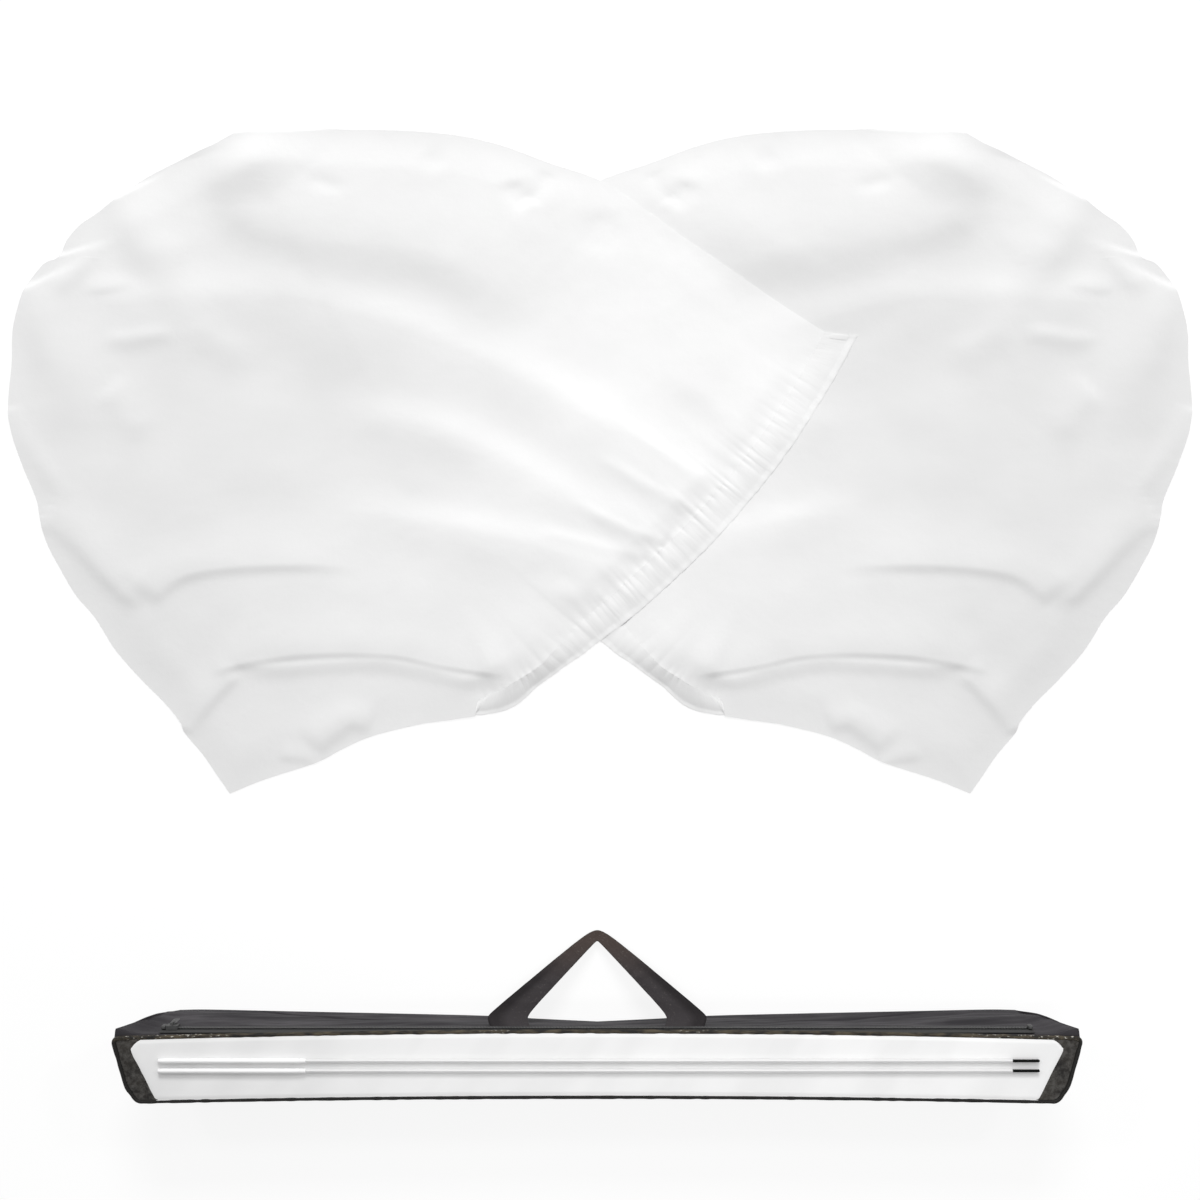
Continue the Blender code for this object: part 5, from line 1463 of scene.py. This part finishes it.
def nose_profile(node_name):
    """A shank inside the grip and a cone before it, with a bore for the rod."""
    long, radius = length_and_radius(node_name)
    middle, near_end, end = (radius * share for share in NOSE_SHARES)
    return [(0, NOSE_BORE), (0, SHANK_RADIUS), (SHANK_LENGTH, SHANK_RADIUS), (SHANK_LENGTH, radius - EDGE),
            (SHANK_LENGTH + NOSE_EDGE, radius), (SHANK_LENGTH + (long - SHANK_LENGTH) * 0.5, middle),
            (long - NOSE_EDGE, near_end), (long, end), (long, NOSE_BORE), (long * 0.5, NOSE_BORE)]


def plug_profile(node_name):
    """A rounded head outside the grip, and a shank inside it."""
    long, radius = length_and_radius(node_name)
    face = [(back, radius * share) for back, share in PLUG_FACE]
    shank = [(PLUG_HEAD, PLUG_RADIUS), (long - PLUG_EDGE, PLUG_RADIUS), (long, PLUG_END)]
    return face + [(PLUG_HEAD, radius)] + shank


def stop_profile(node_name):
    """A short bead that fits the grip's bore, and a peg in the rod."""
    long, radius = length_and_radius(node_name)
    return [(0, radius - EDGE), (EDGE, radius), (STOP_LENGTH - EDGE, radius), (STOP_LENGTH, radius - EDGE),
            (STOP_LENGTH, PEG_RADIUS), (long, PEG_RADIUS)]


def tip_profile(node_name):
    """A peg in the rod, and a bar with a rounded end."""
    long, radius = length_and_radius(node_name)
    peg = [(0, PEG_RADIUS), (PEG_LENGTH, PEG_RADIUS)]
    bar = [(PEG_LENGTH, radius - EDGE), (PEG_LENGTH + EDGE, radius), (long * TIP_MIDDLE, radius)]
    return peg + bar + [(long - back, radius * share) for back, share in TIP_FACE]


def make_pole(number, white, shaded_rod_white, black):
    """Grip tube, rod, stop, end plug, nose and tip, each turned from its own profile."""
    grip, rod, tip = f"pole_{number}", f"pole_{number}_rod", f"pole_{number}_tip"

    def turn(node_name, profile, body, slot, finish, round_profile=False):
        piece = turned_piece(f"{node_name}_turned", node_name, profile, round_profile)
        dress(piece, body, slot, finish, node_name)

    grip_tube = tube_profile(f"{grip}_grip", GRIP_BORE, GRIP_RIM)
    turn(f"{grip}_grip", grip_tube, grip, "pole_white", white, True)
    # painted shade: the rod takes the darker white
    turn(rod, tube_profile(rod, ROD_BORE, ROD_RIM), rod, "pole_white", shaded_rod_white, True)
    turn(f"{rod}_stop", stop_profile(f"{rod}_stop"), rod, "pole_white", white)
    turn(f"{grip}_end_plug", plug_profile(f"{grip}_end_plug"), grip, "pole_white", white)
    turn(f"{grip}_nose", nose_profile(f"{grip}_nose"), grip, "pole_white", white, True)
    turn(tip, tip_profile(tip), rod, "pole_black", black)


# Finishes of the bag and the poles


def bag_cloth_finish():
    """Thin dark synthetic cloth: grey streaks of painted highlight where creases along it catch the light,
    painted shade along the zip side's crease, and a close weave.
    """
    material, tree, shader = finish_of("bag_cloth", Roughness=0.62, Specular_IOR_Level=0.16)
    drawn_out = noise(tree, uv_places(tree, (7, 45, 1)), scale=1.0, detail=4.0, roughness=0.55)
    streaks = ranged(tree, drawn_out, low=0.40, high=0.72)
    patches = ranged(tree, noise(tree, uv_places(tree), scale=14.0, detail=3.0), low=0.32, high=0.68)
    amount = math_node(tree, "MULTIPLY", streaks, patches)
    # painted shade: darker along the zip side's crease
    amount = math_node(tree, "SUBTRACT", amount, tagged(tree, "crease"), clamp=True)
    # painted highlight: the paler colour goes where the creases catch the light
    dark, light = (0.0190, 0.0172, 0.0200, 1), (0.072, 0.067, 0.073, 1)
    set_colour(tree, shader, mix_colour(tree, amount, dark, light))
    creased = bump(tree, shader, streaks, strength=0.25, distance=0.0012)
    woven = weave(tree, uv_places(tree), BAG_THREAD)
    bump(tree, shader, woven, strength=0.25, distance=0.0001, under=creased)
    return material


def border_finish():
    """The same dark cloth, dusty and mottled."""
    material, tree, shader = finish_of("front_border_cloth", Roughness=0.75, Specular_IOR_Level=0.12)
    places = object_places(tree)
    dust = ranged(tree, noise(tree, places, scale=170.0, detail=6.0, roughness=0.7), low=0.42, high=0.72)
    base = ranged(tree, noise(tree, places, scale=45.0, detail=3.0), low=0.3, high=0.7)
    dark = mix_colour(tree, base, (0.014, 0.0135, 0.0135, 1), (0.044, 0.040, 0.035, 1))
    set_colour(tree, shader, mix_colour(tree, dust, dark, (0.10, 0.096, 0.090, 1)))
    bump(tree, shader, noise(tree, places, scale=220.0, detail=4.0), strength=0.5, distance=0.0008)
    return material


def front_finish():
    """Pale satin front: painted sheens, broad and faint, that lie aslant, painted light that grows towards
    the right, and a close weave."""
    material, tree, shader = finish_of("front_satin", Roughness=0.5, Specular_IOR_Level=0.2)
    places = uv_places(tree)
    turned = node(tree, "Mapping", {"Vector": places, "Rotation": (0, 0, 0.6)}).outputs[0]
    drawn_out = node(tree, "Mapping", {"Vector": turned, "Scale": (18, 5, 1)}).outputs[0]
    # painted sheen: aslant streaks of a paler colour stand in for the satin's sheen
    painted_sheen = ranged(tree, noise(tree, drawn_out, scale=1.0, detail=2.0), low=0.38, high=0.62)
    along_bag = node(tree, "SeparateXYZ", {0: places}).outputs[0]
    # painted light: the colour brightens towards the right
    painted_light_to_right = ranged(tree, along_bag, low=-0.35, high=0.35, to_low=0.935, to_high=1.0)
    pale = mix_colour(tree, painted_sheen, grey(0.88), grey(0.93))
    set_colour(tree, shader, mix_colour(tree, 1.0, pale, painted_light_to_right, "MULTIPLY"))
    dented = bump(tree, shader, noise(tree, places, scale=40.0, detail=3.0), strength=0.15, distance=0.0012)
    bump(tree, shader, weave(tree, places, THREAD), *SATIN_WEAVE, under=dented)
    return material


def strap_finish():
    """Dark webbing: ribs along it, brownish where it is worn at the top, with specks of lint, and painted
    shade along its rim and its legs' outer side.
    """
    material, tree, shader = finish_of("strap_webbing", Roughness=0.8, Specular_IOR_Level=0.1)
    worn = math_node(tree, "MULTIPLY", tagged(tree, "apex"), 0.8)
    base = mix_colour(tree, worn, (0.040, 0.036, 0.038, 1), (0.066, 0.049, 0.042, 1))
    specks = noise(tree, object_places(tree), scale=420.0, detail=4.0, roughness=0.7)
    lint = math_node(tree, "MULTIPLY", ranged(tree, specks, low=0.58, high=0.80), 0.5)
    flecked = mix_colour(tree, lint, base, (0.19, 0.175, 0.165, 1))
    # painted shade: the rim and the legs' outer side are darkened
    set_colour(tree, shader, mix_colour(tree, tagged(tree, "edge"), flecked, (0.016, 0.014, 0.015, 1)))
    fibres = noise(tree, object_places(tree), scale=140.0, detail=3.0)
    fibrous = bump(tree, shader, fibres, strength=0.35, distance=0.0006)
    ribs = bands(tree, uv_places(tree), pitch=0.0021, direction="Y")
    bump(tree, shader, ribs, strength=0.35, distance=0.0003, under=fibrous)
    return material


def piping_finish():
    """Near-black cord, worn to a brownish gold along the zip side, with pale flecks there."""
    material, tree, shader = finish_of("piping_cord", Roughness=0.6, Specular_IOR_Level=0.2)
    rubbed = noise(tree, uv_places(tree, (60, 200, 1)), scale=1.0, detail=4.0, roughness=0.6)
    gold = math_node(tree, "MULTIPLY", ranged(tree, rubbed, low=0.40, high=0.62), tagged(tree, "north"))
    worn = mix_colour(tree, gold, (0.006, 0.0055, 0.005, 1), (0.068, 0.055, 0.036, 1))
    specks = noise(tree, uv_places(tree, (240, 500, 1)), scale=1.0, detail=3.0)
    pale_flecked = math_node(tree, "MULTIPLY", ranged(tree, specks, low=0.60, high=0.70), tagged(tree, "pale_flecks"))
    set_colour(tree, shader, mix_colour(tree, pale_flecked, worn, (0.62, 0.60, 0.55, 1)))
    twist = bands(tree, uv_places(tree), pitch=0.0016, direction="DIAGONAL")
    bump(tree, shader, twist, strength=0.4, distance=0.0003)
    return material


def plain_finish(name, dark, light, scale, roughness, depth, **sockets):
    """Two close colours mixed by noise, with a fine grain."""
    material, tree, shader = finish_of(name, Roughness=roughness, **sockets)
    grain = noise(tree, object_places(tree), scale, detail=4.0)
    set_colour(tree, shader, mix_colour(tree, grain, dark, light))
    bump(tree, shader, grain, strength=0.25, distance=depth)
    return material


def make_bag():
    """Bag, front, handle and zip with their finishes, all on a body but the hinge side's wall and the handle.
    """
    cloth, border, white = bag_cloth_finish(), border_finish(), front_finish()
    cord, webbing = piping_finish(), strap_finish()
    tape = plain_finish("zip_tape_weave", grey(0.036), grey(0.062), scale=900.0, roughness=0.85,
                        depth=0.0002, Specular_IOR_Level=0.1)
    nylon = plain_finish("zip_teeth_nylon", grey(0.028), grey(0.052), scale=500.0, roughness=0.4,
                         depth=0.0001)
    metal = plain_finish("zip_gunmetal", grey(0.042), grey(0.062), scale=260.0, roughness=0.6,
                         depth=0.0001, Metallic=0.3)
    board = plain_finish("grey_board", (0.30, 0.27, 0.22, 1), (0.42, 0.38, 0.32, 1), scale=350.0,
                         roughness=0.9, depth=0.0003)

    dress(make_wall("bag_top_gusset_cloth", "north"), "bag", "bag_cloth", cloth, "bag_top_gusset")
    dress(make_end("bag_left_end_cloth", -1), "bag", "bag_cloth", cloth, "bag_left_end")
    dress(make_end("bag_right_end_cloth", 1), "bag", "bag_cloth", cloth, "bag_right_end")
    dress(make_back("bag_back_cloth"), "bag", "bag_cloth", cloth, "bag_back_panel")
    hinge_wall = make_wall("bag_bottom_gusset_cloth", "south")
    hinge_wall.data.materials.append(cloth)
    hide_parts("bag_bottom_gusset")
    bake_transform(hinge_wall)

    dress(make_front("bag_front_satin"), "bag_front", "front_cloth", white, "bag_front_panel")
    for side, sign in (("left", -1), ("right", 1)):
        solid = f"bag_front_{side}_border"
        dress(make_border(f"{solid}_cloth", sign), "bag_front", "bag_cloth", border, solid)
    dress(make_piping("bag_front_piping_cord"), "bag_front", "piping", cord, "bag_front_piping")

    strap = make_strap("handle_webbing")
    strap.data.materials.append(webbing)
    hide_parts("handle_strap", "handle_left_anchor", "handle_right_anchor")
    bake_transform(strap)

    dress(make_tape("zip_tape_woven"), "bag", "zip_tape", tape, "zip_tape")
    dress(make_teeth("zip_chain_teeth"), "bag", "zip_tape", nylon, "zip_chain")
    for stop in ("zip_left_stop", "zip_right_stop"):
        dress(rounded_block(f"{stop}_rounded", *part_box(stop)), "bag", "zip_metal", metal, stop)
    dress(make_back_board("bag_back_stiff_board"), "bag", "stiffener", board, "bag_back_board")
    dress(make_pull("zip_pull_tab"), "zip_pull", "zip_metal", metal, "zip_pull")
    for kept, finish in (("zip_slider", metal), ("bag_front_board", board)):
        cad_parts[kept].data.materials.clear()
        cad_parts[kept].data.materials.append(finish)


def make_poles():
    """Two poles alike."""
    white = plain_finish("pole_white_lacquer", grey(0.90), grey(0.93), scale=120.0, roughness=0.4,
                         depth=0.00005, Specular_IOR_Level=0.3)
    # painted shade: the rods are darker than the grips, so that the key light leaves them no brighter than
    # the front
    shaded_rod_white = plain_finish("pole_rod_shaded_white", grey(0.72), grey(0.76), scale=120.0, roughness=0.5,
                        depth=0.00005, Specular_IOR_Level=0.2)
    black = plain_finish("pole_black_rubber", grey(0.004), grey(0.009), scale=400.0, roughness=0.8,
                         depth=0.0001, Specular_IOR_Level=0.05)
    for number in (1, 2):
        make_pole(number, white, shaded_rod_white, black)


make_bag()
make_poles()

# Stage


def hang_lamp(name, lamp, place, aim):
    """Puts a lamp at a place, turned to its aim, and keeps it out of the picture."""
    obj = bpy.data.objects.new(name, lamp)
    bpy.context.scene.collection.objects.link(obj)
    obj.location = place
    obj.rotation_euler = Vector(np.subtract(aim, place)).to_track_quat("-Z", "Y").to_euler()
    obj.visible_camera = False


def area_light(name, place, aim, size, power, spread=math.pi):
    lamp = bpy.data.lights.new(name, "AREA")
    lamp.spread = spread
    lamp.shape = "RECTANGLE"
    lamp.size, lamp.size_y = size
    lamp.energy = power
    hang_lamp(name, lamp, place, aim)


def spot_light(name, place, aim):
    lamp = bpy.data.lights.new(name, "SPOT")
    lamp.energy = SIDE_POWER
    lamp.spot_size = SIDE_CONE
    lamp.spot_blend = 1.0
    lamp.shadow_soft_size = SIDE_SOFTNESS
    hang_lamp(name, lamp, place, aim)


def background_rays(tree):
    """1 for rays that should meet the white background: from the camera, and through gloss or glass."""
    rays = node(tree, "LightPath").outputs
    mirrored = math_node(tree, "MAXIMUM", rays["Is Glossy Ray"], rays["Is Transmission Ray"])
    return math_node(tree, "MAXIMUM", rays["Is Camera Ray"], mirrored)


def make_floor():
    """A wide plain floor, white to the camera, that still takes the object's shadow."""
    span = np.linspace(-FLOOR_HALF, FLOOR_HALF, 3)
    x, y = grid(span, span)
    floor = surface("studio_floor", np.stack([x, y, 0 * x], axis=-1))
    material = bpy.data.materials.new("studio_floor")
    material.use_nodes = True
    tree = material.node_tree
    tree.nodes.clear()
    paint = node(tree, "BsdfDiffuse", {"Color": grey(0.90)})
    glow = node(tree, "Emission", {"Color": grey(1.0), "Strength": GLOW_STRENGTH})
    seen = math_node(tree, "MULTIPLY", background_rays(tree), FLOOR_GLOW)
    mixed = node(tree, "MixShader", {0: seen, 1: paint.outputs[0], 2: glow.outputs[0]})
    node(tree, "OutputMaterial", {"Surface": mixed.outputs[0]})
    floor.data.materials.append(material)


def make_world():
    """Dim even light all round, and a plain white background to the camera."""
    world = bpy.data.worlds.new("studio")
    world.use_nodes = True
    tree = world.node_tree
    tree.nodes.clear()
    dim = node(tree, "Background", {"Color": grey(1.0), "Strength": AMBIENT})
    white = node(tree, "Background", {"Color": grey(1.0), "Strength": 1.0})
    mixed = node(tree, "MixShader", {0: background_rays(tree), 1: dim.outputs[0], 2: white.outputs[0]})
    node(tree, "OutputWorld", {"Surface": mixed.outputs[0]})
    bpy.context.scene.world = world


def make_camera():
    """Straight down on the middle of the set."""
    lens = bpy.data.cameras.new("camera")
    lens.sensor_width = SENSOR_WIDTH
    lens.lens = SENSOR_WIDTH * CAMERA_HEIGHT / VIEW_WIDTH
    camera = bpy.data.objects.new("camera", lens)
    camera.location = (0.0, 0.0, CAMERA_HEIGHT)
    bpy.context.scene.collection.objects.link(camera)
    bpy.context.scene.camera = camera


make_camera()
make_floor()
make_world()
area_light("key_light", KEY_PLACE, KEY_AIM, KEY_SIZE, KEY_POWER)
area_light("bag_light", BAG_LIGHT_PLACE, BAG_LIGHT_AIM, BAG_LIGHT_SIZE, BAG_LIGHT_POWER, BAG_LIGHT_SPREAD)
spot_light("left_panel_light", SIDE_PLACE, SIDE_AIM)
spot_light("right_panel_light", *(np.multiply(place, (-1, 1, 1)) for place in (SIDE_PLACE, SIDE_AIM)))
bpy.context.scene.view_settings.view_transform = "Standard"
